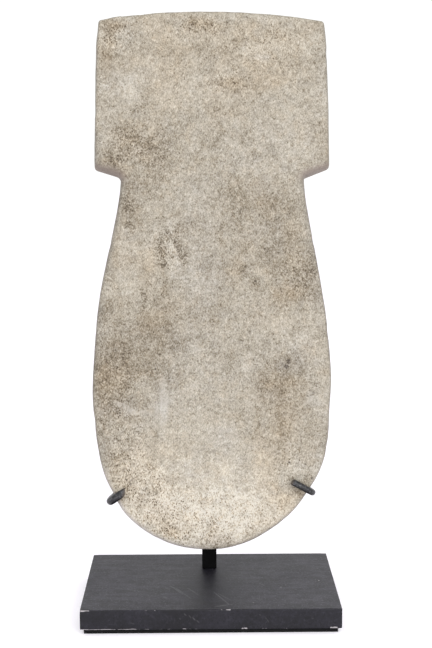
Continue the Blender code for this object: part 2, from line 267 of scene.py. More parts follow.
# ============================================================================
# 4. The stone's patches, placed on its front face (u, v, half width, half
#    height, turn in degrees, strength). DARKS and PALES change the tone, WARMS
#    and COOLS the hue, the rim tables say where painted edge shade lies.
# ============================================================================
DARKS = (
    # butt, left and middle of the top
    (-57, 313, 8, 6, 0, 0.60), (-60, 300, 9, 16, 0, 0.26), (-60, 293, 5, 5, 0, 0.30),
    (-64, 266, 5, 5, 0, 0.25), (-6, 314, 9, 5, 0, 0.46), (-2, 312, 14, 8, 0, 0.24),
    (-4, 300, 7, 3, 0, 0.24), (11, 296, 6, 3, 0, 0.25), (2, 289, 3.5, 6, 0, 0.28),
    (15, 278, 14, 5, 0, 0.28), (17, 271, 5, 8, 0, 0.26), (3, 262, 5, 4, 0, 0.26),
    (-22, 299, 3, 4, 0, 0.25), (-40, 263, 5, 4, 0, 0.30), (21, 246, 4, 5, 0, 0.30),
    (28, 236, 3.5, 3, 0, 0.30), (-3, 244, 3.5, 3.5, 0, 0.22), (6, 251, 2.5, 3, 0, 0.20),
    (52, 292, 5, 8, 0, 0.14), (67, 275, 5, 20, 0, 0.10),
    # left shoulder
    (-48, 244, 9, 10, -20, 0.60), (-57, 233, 10, 8, 0, 0.60), (-57, 227, 6, 3, 0, 0.42),
    (-33, 238, 12, 8, 0, 0.36), (-33, 238, 3, 3, 0, 0.20), (-27, 251, 6, 8, 0, 0.16),
    (-40, 232, 26, 20, 0, 0.26), (-36, 230, 7, 5, 0, 0.36), (-40, 220, 12, 7, 0, 0.36),
    # left of the waist, and two dark runs below it
    (-47, 205, 8, 5, 0, 0.90), (-45, 200, 6, 9, 0, 0.60), (-47, 213, 6, 6, 0, 0.36),
    (-46, 192, 6, 5, 0, 0.36), (-28, 177, 4.0, 10, 8, 0.72), (-17, 180, 3.2, 9, 12, 0.52),
    (-23, 187, 8, 3.5, 0, 0.38), (-45, 175, 5, 4, 0, 0.20), (-58, 172, 4, 10, 0, 0.20),
    (-38, 154, 3, 7, 0, 0.42), (-25, 158, 4, 4, 0, 0.42), (0, 192, 16, 5, 0, 0.22),
    (-12, 196, 4, 5, 0, 0.20), (-30, 148, 14, 7, 0, 0.18), (-16, 171, 3.5, 9, 5, 0.30),
    # right of the waist and down the right flank
    (15, 211, 9, 12, 0, 0.42), (33, 204, 14, 9, 0, 0.42), (36, 206, 6, 6, 0, 0.30),
    (21, 202, 3.5, 5, 0, 0.30), (27, 217, 12, 6, 0, 0.48), (46, 204, 8, 12, 0, 0.10),
    (45, 190, 12, 16, 0, 0.40), (35, 177, 7, 6, 0, 0.58), (26, 186, 8, 10, 0, 0.50), (2, 209, 6, 6, 0, 0.25),
    (22, 170, 7, 8, 0, 0.28), (27, 159, 4, 4.5, 0, 0.46), (50, 190, 3, 4, 0, 0.30),
    (55, 168, 12, 12, 20, 0.60), (57, 162, 6, 11, -20, 0.45), (50, 154, 16, 7, 0, 0.52),
    (62, 160, 8, 14, 0, 0.36), (42, 146, 14, 8, 0, 0.18), (38, 168, 7, 6, 0, 0.45), (8, 165, 12, 24, 0, 0.24),
    (-8, 132, 12, 13, 0, 0.24), (5, 115, 10, 5, 0, 0.22), (3, 139, 4, 5, 0, 0.30),
    # the big dark area beside the widest part, left
    (-58, 113, 14, 12, 0, 1.00), (-48, 112, 10, 12, 0, 0.88), (-62, 100, 8, 10, 0, 0.82),
    (-50, 99, 6, 7, 0, 0.55), (-36, 130, 16, 14, 0, 0.58), (-34, 133, 7, 5, 0, 0.40),
    (-60, 143, 7, 6, 30, 0.55), (-57, 134, 10, 10, 0, 0.36), (-49, 148, 7, 4, 0, 0.35), (-26, 142, 6, 8, 0, 0.44),
    (-25, 126, 8, 12, 0, 0.30), (-32, 110, 9, 9, 0, 0.54), (-58, 86, 14, 10, 0, 0.52),
    (-45, 92, 14, 6, 0, 0.03), (-58, 74, 11, 12, 0, 0.40), (-45, 78, 9, 3, 0, 0.34),
    (-40, 89, 5, 3, 0, 0.34), (-57, 60, 8, 10, 0, 0.12), (-56, 52, 5, 6, 0, 0.38),
    (-20, 104, 9, 6, 0, 0.24), (-30, 99, 5, 5, 0, 0.55),
    # right, above the claw
    (42, 112, 7, 5, 0, 0.56), (40, 102, 11, 8, 0, 0.52), (50, 104, 9, 14, 0, 0.34),
    (33, 97, 8, 5, 0, 0.36), (44, 85, 6, 13, 0, 0.46), (42, 77, 4, 6, 0, 0.44),
    (34, 88, 12, 14, 0, 0.20), (53, 84, 6, 7, 0, 0.34), (42, 63, 6, 8, 0, 0.34), (42, 57, 5, 5, 0, 0.50),
    (54, 73, 10, 8, 0, 0.14), (31, 64, 4, 8, 0, 0.25), (36, 36, 7, 6, 0, 0.46),
    # lower blade
    (-24, 12.6, 6.5, 3.6, -20, 0.95), (-29, 21, 7, 8, 0, 0.46), (-33, 33, 7, 6, 0, 0.34), (-35, 48, 4, 4, 0, 0.24), (-1, 28, 6, 4, 0, 0.45),
    # (-52.5, 32.5) and (51.5, 34.5) are painted shadows under the left and right claws
    (-52.5, 32.5, 2.6, 3.0, 0, 0.95), (-49.0, 41.0, 6.0, 4.0, 0, 0.60), (51.5, 34.5, 6.0, 3.0, -25, 0.90),
    (56.8, 43.0, 0.9, 3.2, 0, 0.45), (-1, 12, 5, 6, 0, 0.62), (-13, 7, 6, 3, 0, 0.22), (8, 58, 5, 5, 0, 0.28), (5, 5.5, 10, 4.5, 0, 0.78),
    (-44, 29, 7, 5, 0, 0.44), (-43, 64, 7, 5, 0, 0.40),
)
PALES = (
    (-30, 308, 16, 8, 0, 0.16), (40, 315, 12, 4, 0, 0.30), (30, 297, 9, 5, 0, 0.32),
    (23, 293, 3, 5, 0, 0.30), (55, 302, 7, 5, 0, 0.30), (45, 300, 4, 4, 0, 0.25),
    (-48, 278, 14, 10, 0, 0.24), (-46, 273, 5, 8, 0, 0.28), (-12, 278, 18, 12, 0, 0.20),
    (-20, 268, 14, 8, 0, 0.18), (-8, 288, 5, 7, 0, 0.28), (-38, 290, 8, 6, 0, 0.18),
    (45, 262, 24, 26, 0, 0.14), (48, 240, 16, 12, 0, 0.10), (0, 320, 80, 3, 0, 0.20),
    (13, 243, 3, 6, 0, 0.20), (-18, 212, 4, 8, 0, 0.20), (-8, 208, 5, 7, 0, 0.20),
    (-33, 195, 4, 3, 0, 0.15), (-45, 182, 10, 8, 0, 0.24), (-35, 178, 5, 10, 0, 0.18),
    (-48, 162, 6, 9, 0, 0.22), (-10, 165, 14, 12, 0, 0.08), (-4, 155, 6, 8, 0, 0.18),
    (-18, 172, 4, 8, 0, 0.18), (38, 133, 8, 6, 0, 0.22), (20, 140, 3, 3, 0, 0.20),
    (58, 124, 8, 10, 0, 0.22), (66, 108, 5, 16, 0, 0.08),
    (21, 110, 4, 6, 0, 0.18), (29, 121, 3, 3, 0, 0.15), (-6, 117, 8, 8, 0, 0.24),
    (0, 98, 16, 16, 0, 0.08), (-14, 88, 26, 14, 0, 0.06), (-28, 82, 4, 8, 0, 0.28),
    (-20, 68, 24, 14, 0, 0.10), (4, 158, 4, 6, 0, 0.16), (46, 60, 2.5, 8, 0, 0.28), (64, 50, 5, 10, 0, 0.18),
    # the paler lower blade: partly the stone's own paler polish, partly painted light where the lower blade shows
    # brighter
    (0, 30, 46, 36, 0, 0.56), (12, 24, 26, 20, 0, 0.60), (22, 28, 8, 7, 0, 0.34),
    (9, 17, 8, 5, 0, 0.34), (-16, 25, 8, 8, 0, 0.38), (-28, 28, 8, 8, 0, 0.28),
    (-2, 36, 5, 5, 0, 0.30), (8, 66, 10, 5, 0, 0.28), (14, 71, 10, 7, 0, 0.10),
    (12, 48, 16, 10, 0, 0.12), (-20, 45, 18, 10, 0, 0.22), (-40, 40, 14, 12, 0, 0.14),
    (-5, 20, 20, 10, 0, 0.28), (35, 25, 12, 12, 0, 0.28), (-42, 22, 12, 8, -40, 0.30),
    (0, 8, 34, 6, 0, 0.25), (-50, 20, 10, 14, 40, 0.50), (-27, 8, 14, 6, -20, 0.42),
    (28, 15, 16, 8, 30, 0.34), (50, 28, 8, 10, -30, 0.20),
)
WARMS = (
    (-57, 312, 7, 5, 0, 0.9), (-60, 295, 6, 12, 0, 0.7), (-6, 313, 9, 4, 0, 0.9),
    (4, 310, 6, 5, 0, 0.5), (23, 311, 5, 4, 0, 0.5), (15, 277, 7, 5, 0, 1.0),
    (34, 279, 16, 5, 6, 0.9), (61, 311, 8, 4, 0, 0.7), (-44, 291, 4, 4, 0, 0.5),
    (-22, 280, 10, 8, 0, 0.4), (33, 205, 6, 7, 0, 0.4), (48, 190, 5, 8, 0, 0.5),
    (-34, 171, 4, 10, 0, 0.9), (-50, 172, 8, 8, 0, 0.3), (15, 168, 6, 6, 0, 0.5),
    (48, 153, 8, 6, 20, 0.8), (-33, 137, 8, 6, 0, 0.5), (-57, 103, 10, 11, 0, 0.7),
    (42, 92, 14, 12, 0, 0.45), (44, 74, 6, 6, 0, 0.5), (29, 68, 5, 5, 0, 0.4),
    (44, 30, 8, 7, 30, 1.0), (33, 20, 9, 7, 0, 0.35), (-52, 50, 7, 7, 0, 0.4),
    (-22, 70, 4, 4, 0, 0.3), (-23, 11, 6, 4, 0, 0.6), (2, 11, 3, 5, 0, 0.5),
    (-47, 245, 10, 9, 0, 0.35), (70, 240, 4, 14, 0, 0.4), (-58, 190, 3, 10, 0, 0.5),
    (-40, 58, 14, 10, 0, 0.2), (66, 88, 5, 14, 0, 0.1),
    (-30, 308, 12, 14, 0, 0.60), (-25, 298, 8, 16, 0, 0.40), (-28, 276, 10, 16, 0, 0.50),
    (-32, 252, 6, 12, 0, 0.35), (-52, 288, 8, 6, 0, 0.40), (8, 305, 12, 7, 0, 0.50),
    (12, 293, 8, 8, 0, 0.55), (30, 306, 14, 9, 0, 0.60), (40, 298, 12, 8, 0, 0.40),
    (30, 290, 12, 6, 0, 0.60), (26, 277, 9, 9, 0, 0.70), (47, 290, 9, 6, 0, 0.35),
    (-38, 236, 8, 5, 0, 0.50), (-60, 227, 11, 5, 0, 0.60), (-55, 198, 5, 15, 0, 0.60),
    (-37, 168, 8, 12, 0, 0.40), (-33, 136, 9, 8, 0, 0.40), (61, 120, 6, 8, 0, 0.45),
    (50, 174, 6, 9, 0, 0.40), (23, 180, 5, 5, 0, 0.35), (33, 50, 8, 22, 0, 0.70),
    (46, 70, 9, 14, 0, 0.40), (45, 100, 14, 4, 0, 0.30), (-46, 45, 15, 17, 0, 0.38),
    (-38, 28, 13, 12, 0, 0.22), (-28, 18, 12, 8, 0, 0.35), (-14, 17, 6, 7, 0, 0.55), (-28, 22, 14, 12, 0, 0.15), (-40, 48, 12, 12, 0, 0.35), (-50, 38, 7, 8, 0, 0.4),
    (-26, 60, 12, 7, 0, 0.30), (-50, 78, 10, 5, 0, 0.10), (-12, 38, 8, 10, 0, 0.20),
    (30, 142, 6, 5, 0, 0.30), (-62, 100, 6, 8, 0, 0.10), (56, 250, 6, 10, 0, 0.25),
    (-12, 300, 12, 18, 0, 0.45), (4, 268, 9, 20, 0, 0.35), (-16, 268, 8, 9, 0, 0.25), (14, 262, 8, 6, 0, 0.35),
    (42, 284, 18, 9, 0, 0.35), (50, 305, 10, 8, 0, 0.35), (-42, 291, 12, 7, 0, 0.35), (-60, 223, 10, 5, 0, 0.60),
    (-58, 188, 4, 18, 0, 0.70), (-20, 146, 10, 10, 0, 0.30), (36, 136, 18, 4, 0, 0.30), (28, 95, 6, 6, 0, 0.20),
    (-24, 40, 9, 6, 0, 0.30), (28, 14, 12, 5, 30, 0.30), (58, 60, 5, 8, 0, 0.25), (4, 50, 14, 4, 0, 0.25),
    (10, 78, 10, 4, 0, 0.25), (68, 106, 4, 6, 0, 0.35), (40, 99, 11, 6, 0, 0.35), (43, 80, 6, 10, 0, 0.50),
    (-60, 103, 8, 8, 0, 0.6), (44, 152, 8, 5, 0, 0.5),
)
COOLS = (
    (-28.5, 88, 4, 13, 0, 1.0), (-52, 278, 10, 7, 0, 0.5), (-48, 306, 4, 6, 0, 0.4),
    (32, 293, 6, 2, 0, 0.7), (-46, 186, 5, 4, 0, 0.5), (0, 164, 9, 14, 0, 0.6),
    (43, 109, 5, 4, 0, 0.8), (58, 124, 8, 8, 0, 0.35), (61, 92, 4, 6, 0, 0.5),
    (10, 68, 8, 9, 0, 0.45), (12, 142, 5, 4, 0, 0.4), (-50, 84, 8, 3, -20, 0.5),
    (54, 52, 3, 4, 0, 0.5), (-8, 205, 14, 10, 0, 0.3), (38, 240, 16, 16, 0, 0.3),
    (-20, 110, 8, 10, 0, 0.35), (15, 110, 20, 16, 0, 0.15), (-12, 45, 6, 6, 0, 0.3),
    (36, 178, 6, 6, 0, 0.35), (-30, 190, 12, 8, 0, 0.25), (20, 228, 12, 8, 0, 0.2),
    (-4, 165, 18, 46, 0, 0.34), (-6, 218, 8, 7, 0, 0.35), (32, 217, 9, 7, 0, 0.50),
    (35, 190, 13, 5, 0, 0.35), (-24, 247, 5, 7, 0, 0.30), (-25, 104, 7, 8, 0, 0.45),
    (-26, 90, 6, 9, 0, 0.30), (-17, 123, 7, 7, 0, 0.45), (-58, 86, 12, 5, 0, 0.35),
    (50, 112, 9, 8, 0, 0.35), (36, 91, 11, 5, 0, 0.30), (8, 66, 10, 8, 0, 0.30),
    (24, 108, 8, 8, 0, 0.25), (-5, 42, 5, 6, 0, 0.30), (0, 100, 24, 22, 0, 0.16),
    (68, 150, 5, 18, 0, 0.40), (69, 275, 4, 18, 0, 0.35), (70, 85, 5, 22, 0, 0.40),
    (-65, 56, 6, 15, 0, 0.45), (64, 55, 6, 12, 0, 0.50), (-62, 132, 8, 12, 0, 0.30),
    (14, 240, 8, 14, 0, 0.22), (-48, 172, 6, 6, 0, 0.25),
    (-27, 90, 10, 12, 0, 0.45), (-50, 86, 14, 8, 0, 0.40), (-43, 130, 8, 9, 0, 0.35), (-57, 118, 8, 7, 0, 0.35),
    (64, 158, 8, 16, 0, 0.40), (53, 115, 13, 10, 0, 0.40), (-36, 80, 10, 10, 0, 0.25), (-50, 66, 14, 10, 0, 0.20),
    (-14, 122, 7, 9, 0, 0.35), (60, 95, 6, 12, 0, 0.30), (32, 92, 9, 6, 0, 0.30), (-40, 38, 4, 5, 0, 0.30),
    (-30, 26, 9, 6, 0, 0.30), (5, 5, 7, 4, 0, 0.45), (-10, 160, 14, 30, 0, 0.20), (30, 190, 14, 12, 0, 0.20),
    (-8, 52, 6, 8, 0, 0.25), (30, 142, 7, 6, 0, 0.30), (-48, 214, 8, 10, 0, 0.20),
)
# where painted shade draws a thin grey line along the very edge, and where a soft painted shade lies inside it
RIM_SHADE_LINES = (
    (-70, 272, 12, 56, 0, 0.85), (-58, 200, 16, 46, 0, 0.90), (-70, 120, 16, 56, 0, 0.90),
    (-62, 56, 12, 20, 0, 0.55), (60, 200, 16, 44, 0, 0.80), (70, 130, 12, 40, 0, 0.75),
    (72, 80, 12, 24, 0, 0.45), (70, 240, 12, 14, 0, 0.50), (72, 285, 10, 30, 0, 0.30),
    (36, 10, 42, 12, 30, 0.85), (-68, 316, 8, 8, 0, 0.6),
)
RIM_SHADES = (
    (-60, 200, 14, 44, 0, 0.75), (-72, 125, 10, 36, 0, 0.55), (-70, 262, 8, 50, 0, 0.15),
    (62, 205, 14, 40, 0, 0.55), (71, 150, 10, 30, 0, 0.25), (-64, 60, 8, 20, 0, 0.15),
)
# where painted light makes the low left edge paler, as it faces away from the key light
EDGE_PAINTED_LIGHTS = ((-52, 24, 10, 14, 0, 0.85), (-40, 12, 12, 8, 0, 0.90), (-24, 4, 14, 5, 0, 0.70), (-8, 1, 8, 3, 0, 0.5),
           (-61, 44, 5, 10, 0, 0.5))
# the same kinds of patch, fewer and softer, on the back
BACK_DARKS = (
    (40, 120, 18, 16, 0, 0.60), (-30, 150, 14, 12, 0, 0.45), (-50, 250, 14, 12, 0, 0.45),
    (45, 295, 16, 9, 0, 0.42), (0, 210, 16, 14, 0, 0.36), (-55, 90, 10, 16, 0, 0.50),
    (20, 60, 10, 8, 0, 0.25), (30, 180, 8, 18, 10, 0.40), (-15, 300, 14, 7, 0, 0.32),
    (-20, 110, 9, 7, 0, 0.25), (55, 200, 7, 12, 0, 0.35), (10, 262, 6, 8, 0, 0.25),
)
BACK_PALES = ((-8, 30, 44, 30, 0, 0.75), (20, 255, 18, 16, 0, 0.26), (-25, 195, 12, 16, 0, 0.24),
              (20, 100, 14, 18, 0, 0.20), (-40, 285, 12, 10, 0, 0.22))
BACK_WARMS = ((38, 125, 16, 12, 0, 0.5), (-20, 280, 16, 8, 0, 0.6), (-50, 60, 10, 12, 0, 0.5))
BACK_COOLS = ((10, 165, 14, 16, 0, 0.5), (-45, 205, 8, 12, 0, 0.4), (40, 70, 10, 12, 0, 0.4))
# where the grain is coarser and browner
COARSE = ((-34, 30, 16, 18, -30, 0.8), (-52, 50, 8, 14, 0, 0.5), (-14, 22, 14, 14, 0, 0.5),
          (-57, 308, 10, 12, 0, 0.7), (-5, 312, 13, 6, 0, 0.7), (38, 302, 22, 12, 0, 0.3),
          (12, 280, 13, 9, 0, 0.3), (-24, 180, 9, 13, 0, 0.6), (55, 165, 12, 12, 0, 0.4),
          (-45, 240, 16, 14, 0, 0.4), (-24, 18, 30, 18, -25, 1.0), (-44, 42, 14, 18, 0, 0.8), (-56, 100, 12, 24, 0, 0.35),
          (12, 20, 34, 20, 0, 0.7), (48, 50, 10, 16, 0, 0.4), (-52, 72, 12, 16, 0, 0.4))
# pale rubbed strokes (front): from u, v to u, v, half width, strength
STROKES = (
    (-56.2, 89.3, -42.4, 82.2, 1.6, 1.0), (-48.5, 85.0, -43.0, 81.6, 1.3, 0.9),
    (-43.0, 82.6, -36.0, 84.2, 0.9, 0.65), (-38.5, 83.5, -30.0, 82.0, 1.4, 0.55),
    (-27.6, 104.0, -27.2, 72.0, 2.2, 0.70), (-25.0, 95.0, -25.5, 82.0, 0.9, 0.60),
    (-28.8, 99.0, -28.4, 80.0, 0.8, 0.80), (-31.5, 90.0, -31.0, 80.0, 0.8, 0.45),
    (61.0, 90.4, 55.2, 86.6, 0.9, 1.0), (63.0, 97.0, 60.5, 96.0, 0.8, 0.45),
    (65.0, 95.0, 64.5, 86.0, 0.9, 0.50), (46.5, 66.0, 45.0, 52.0, 0.9, 0.45),
    (22.0, 167.0, 41.0, 158.0, 0.5, 0.22), (-2.0, 74.0, 12.0, 71.0, 0.5, 0.2),
)
# brown runs where stain sits between the grains, given like the strokes
RUNS = (
    (-28.5, 189.0, -27.5, 168.0, 2.4, 0.80), (-22.0, 188.0, -12.5, 170.0, 2.2, 0.75), (-39.5, 155.0, -37.5, 145.0, 1.8, 0.80),
    (-27.0, 190.0, -16.0, 189.0, 1.8, 0.50), (-53.0, 212.0, -46.0, 202.0, 3.0, 0.60), (-49.0, 196.0, -45.0, 188.0, 2.0, 0.50),
    (-30.0, 150.0, -24.0, 154.0, 1.8, 0.50), (26.0, 163.0, 29.0, 157.0, 1.6, 0.60), (-35.0, 246.0, -30.0, 236.0, 2.6, 0.40),
    (-56.0, 246.0, -48.0, 250.0, 2.6, 0.40), (22.0, 250.0, 21.0, 242.0, 2.0, 0.40), (27.0, 238.0, 29.0, 233.0, 1.8, 0.45),
)
# single dark specks: u, v, radius, strength
SPECKS = (
    (-53.1, 82.7, 0.6, 0.9), (-32.0, 108.5, 0.6, 0.8), (46.9, 52.7, 0.8, 1.0), (3.4, 31.0, 0.5, 0.8),
    (45.4, 109.6, 1.2, 0.8), (47.0, 112.3, 1.4, 0.8), (43.0, 111.0, 0.9, 0.5), (61.2, 93.6, 1.0, 0.55), (59.4, 95.0, 0.8, 0.4),
    (57.8, 92.0, 0.7, 0.4), (-26.2, 83.5, 0.5, 0.5), (51.0, 111.5, 0.8, 0.35), (-32.2, 89.0, 0.6, 0.6),
    (-34.0, 160.0, 0.5, 0.8), (12.0, 187.0, 0.5, 0.6), (-10.5, 172.0, 0.5, 0.6), (56.5, 51.5, 0.7, 0.6),
    (-44.0, 139.0, 0.6, 0.6), (-27.0, 133.0, 0.6, 0.7), (-57.0, 212.0, 0.7, 0.6), (-14.0, 292.0, 0.6, 0.5),
    (-47.2, 40.2, 0.8, 0.9), (-49.6, 43.2, 0.6, 0.8), (-47.0, 42.8, 0.6, 0.8), (60.4, 43.2, 1.1, 0.8),
    (-58.3, 42.6, 0.7, 0.5), (-40.4, 34.8, 0.8, 0.5), (27.5, 160.0, 0.8, 0.7), (24.0, 148.0, 0.5, 0.5), (-19.0, 105.0, 0.9, 0.5), (-24.0, 103.0, 0.6, 0.6),
)
# chips out of the rounded edge: u, v, radius, depth
CHIPS = (
    (-4.0, 1.2, 3.2, 0.55), (3.5, 1.6, 4.6, 0.40), (-36.5, 318.6, 5.5, 0.35),
    (-61.0, 315.8, 4.5, 0.40), (-69.2, 262.0, 5.0, 0.25), (72.3, 296.0, 4.0, 0.30),
    (71.8, 130.0, 5.0, 0.30), (67.5, 62.0, 5.0, 0.35), (-68.0, 78.0, 6.0, 0.30),
    (-67.5, 229.0, 3.0, 0.45), (55.8, 222.6, 2.6, 0.40), (60.5, 184.0, 4.0, 0.28),
    (45.0, 16.0, 5.0, 0.30), (-30.0, 7.5, 4.0, 0.32), (-58.5, 182.0, 4.5, 0.25),
)


def patches(table, p, side_sign, noise):
    """Union of soft ellipses with a ragged edge. p holds u, y, v."""
    near = ease(-6.0, 3.0, p[:, 1] * side_sign)
    total = np.zeros(len(p))
    wob = noise(p + (0, 0, 400.0), 12.0) * 0.26 + noise(p + (0, 50.0, 0), 5.0) * 0.16
    for u, v, ru, rv, turn, amount in table:
        c, s = math.cos(math.radians(turn)), math.sin(math.radians(turn))
        du, dv = p[:, 0] - u, p[:, 2] - v
        a = (du * c + dv * s) / (ru * 1.15)
        b = (-du * s + dv * c) / (rv * 1.15)
        r = np.sqrt(a * a + b * b) + wob
        total = 1.0 - (1.0 - total) * (1.0 - amount * (1.0 - ease(0.05, 1.38, r)))
    return total * near


# ============================================================================
# 5. The stone's mesh
# ============================================================================
RIM_STEP, FRONT_STEP, BACK_STEP, RINGS = 1.12, 1.04, 1.62, 12


def edge_section(count):
    """Even steps round the rounded edge: (share of its width, share of the height)."""
    a = np.linspace(0.0, math.pi / 2, 2001)
    x = 1.0 - np.cos(a) ** (2.0 / EDGE_POWER)
    y = np.sin(a) ** (2.0 / EDGE_POWER)
    run = np.concatenate([[0.0], np.cumsum(np.hypot(np.diff(x * 3.4), np.diff(y * 12.0)))])
    s = np.linspace(0.0, run[-1], count + 1)
    return np.interp(s, run, x), np.interp(s, run, y)


def face_mesh(rim, step, seed):
    """Triangles that fill the rim with an even, slightly shuffled net."""
    rng = np.random.default_rng(seed)
    lo, hi = rim.min(0), rim.max(0)
    rows = []
    dv = step * math.sqrt(3) / 2
    for j, v in enumerate(np.arange(lo[1], hi[1], dv)):
        u = np.arange(lo[0] + (step / 2 if j % 2 else 0.0), hi[0], step)
        rows.append(np.stack([u, np.full_like(u, v)], -1))
    q = np.concatenate(rows)
    q += rng.uniform(-0.16, 0.16, q.shape) * step
    # inside test, row by row: the outline is cut once on each side
    ring = np.concatenate([rim, rim[:1]])
    inside = np.zeros(len(q), bool)
    for a, b in zip(ring[:-1], ring[1:]):
        cross = (a[1] > q[:, 1]) != (b[1] > q[:, 1])
        if cross.any():
            u = a[0] + (q[:, 1] - a[1]) * (b[0] - a[0]) / (b[1] - a[1] + 1e-12)
            inside ^= cross & (q[:, 0] < u)
    q = q[inside]
    q = q[distance_to(rim, q) > 0.62 * step]
    n = len(rim)
    pts = [Vector((float(x), float(y))) for x, y in np.concatenate([rim, q])]
    res = delaunay_2d_cdt(pts, [], [list(range(n))], 1, 1e-6)
    flat = np.array([(v[0], v[1]) for v in res[0]])
    first = [ids[0] if ids else -1 for ids in res[3]]
    return flat, first, res[2]


def build_stone():
    noise = Lumps(11)
    loop = outline(9.0, RIM_STEP)
    n = len(loop)
    nrm = inward(loop)
    p3 = np.stack([loop[:, 0], np.zeros(n), loop[:, 1]], -1)
    # the hand-ground edge: its line and its roundness change along the way
    calm = ease(2.0, 6.0, np.abs(loop[:, 1] - 225.0))
    line = noise(p3, 21.0) * 0.10 + noise(p3, 7.0) * 0.07 * calm + noise(p3, 3.0) * 0.04 * calm
    line = line + 0.12 + 0.10 * ease(303.0, 314.0, loop[:, 1])
    # a small step in the bowed top, left of its middle
    top = loop[:, 1] > 300.0
    line += np.where(top, 0.35 * ease(-40.5, -38.5, -np.abs(loop[:, 0] + 45.0) - 33.0), 0.0)
    loop = loop + nrm * line[:, None]
    nrm = inward(loop)
    wid = edge_width(loop[:, 1]) * (1.0 + 0.30 * noise(p3 + 90.0, 26.0) + 0.14 * noise(p3 + 40.0, 8.0))
    shares = edge_section(RINGS)
    verts, faces = [], []

    def put(u, y, v):
        verts.append((u, y, v))
        return len(verts) - 1

    ridge = [put(p[0], 0.0, p[1]) for p in loop]
    for sign, step, seed in ((-1.0, FRONT_STEP, 5), (1.0, BACK_STEP, 6)):
        prev = ridge
        for dx, hy in list(zip(*shares))[1:]:
            ring = loop + nrm * (wid * dx)[:, None]
            h = half_thickness(ring[:, 0], ring[:, 1]) * hy
            cur = [put(ring[i, 0], sign * h[i], ring[i, 1]) for i in range(n)]
            for i in range(n):
                k = (i + 1) % n
                quad = (prev[i], prev[k], cur[k], cur[i])
                faces.append(quad if sign > 0 else quad[::-1])
            prev = cur
        flat, first, tris = face_mesh(ring, step, seed)
        high = half_thickness(flat[:, 0], flat[:, 1])
        index = [prev[first[i]] if 0 <= first[i] < n else put(p[0], sign * high[i], p[1])
                 for i, p in enumerate(flat)]
        for t in tris:
            f = tuple(index[i] for i in t)
            faces.append(f if sign > 0 else f[::-1])

    ob = new_object("axe_stone", np.array(verts) * MM, faces)
    me = ob.data
    p = get_points(me) / MM
    dist = distance_to(loop, p[:, [0, 2]])          # distance in from the outline

    dark = patches(DARKS, p, -1.0, noise) + patches(BACK_DARKS, p, 1.0, noise)
    pale = patches(PALES, p, -1.0, noise) + patches(BACK_PALES, p, 1.0, noise)
    warm = patches(WARMS, p, -1.0, noise) + patches(BACK_WARMS, p, 1.0, noise)
    cool = patches(COOLS, p, -1.0, noise) + patches(BACK_COOLS, p, 1.0, noise)

    # ---- relief, millimetres along the surface's own normal ----
    nv = vertex_normals(me)
    on_face = ease(1.5, 5.0, dist)
    relief = (noise(p, 64.0) * 0.16 + noise(p + 7.0, 27.0) * 0.11 + noise(p + 3.0, 11.0) * 0.055
              + noise(p + 5.0, 4.6) * 0.035 + noise(p + 9.0, 2.4) * 0.022)
    relief *= 0.55 + 0.45 * on_face
    rng = np.random.default_rng(23)
    # ground dimples and fine pits, more of them where the stone is stained
    pits = np.zeros(len(p))
    face_p = p[:, [0, 2]]
    for count, r_lo, r_hi, deep in ((420, 1.3, 2.6, 0.16), (130, 2.8, 5.5, 0.14)):
        made = 0
        while made < count:
            k = rng.integers(len(p))
            if rng.uniform() > 0.25 + 0.9 * dark[k] or dist[k] < 2.0:
                made += 1 if rng.uniform() < 0.02 else 0
                continue
            r = rng.uniform(r_lo, r_hi)
            d = deep * rng.uniform(0.5, 1.2)
            near = np.abs(face_p[:, 0] - p[k, 0]) < r
            near &= np.abs(face_p[:, 1] - p[k, 2]) < r
            near &= (p[:, 1] * p[k, 1]) > 0
            i = np.nonzero(near)[0]
            q = np.linalg.norm(p[i] - p[k], axis=1) / r
            pits[i] = np.maximum(pits[i], d * np.clip(1 - q * q, 0, 1) ** 1.5)
            made += 1
    for u, v, r, d in CHIPS:
        at = np.array([u, -7.0, v])
        q = np.linalg.norm((p - at) * (1.0, 0.55, 1.0), axis=1) / r
        pits = np.maximum(pits, d * np.clip(1 - q * q, 0, 1) ** 1.2)
    relief -= pits
    # nothing stands proud at the very top, nor where the claws and the post come close
    guard = ease(314.0, 319.0, p[:, 2])
    guard = np.maximum(guard, ease(43.0, 47.0, np.abs(p[:, 0])) * (1 - ease(12.0, 18.0, np.abs(p[:, 2] - 36.0))))
    guard = np.maximum(guard, ease(-1.0, 1.0, p[:, 1]) * (1 - ease(8.0, 14.0, np.abs(p[:, 0]))))
    relief = np.minimum(relief, 0.03) * guard + relief * (1 - guard)
    p = p + nv * relief[:, None]
    set_points(me, p * MM)

    flat_p = p * (1.0, 0.0, 1.0) - (0.0, 8.0, 0.0)
    # painted edge shade: a thin grey line at the very edge and a soft grey band inside it
    crisp = 1.0 - ease(0.4, 1.9, dist + noise(p, 5.0) * 0.25)
    soft = 1.0 - ease(0.8, 6.5, dist + noise(p, 8.0) * 0.8)
    rim = np.maximum(crisp * (0.16 + 0.84 * patches(RIM_SHADE_LINES, flat_p, -1.0, noise)),
                     soft * patches(RIM_SHADES, flat_p, -1.0, noise))
    rim *= 1.0 - 0.55 * (1.0 - ease(4.0, 8.0, np.abs(p[:, 1]))) * (1.0 - patches(RIM_SHADE_LINES[9:10], flat_p, -1.0, noise))
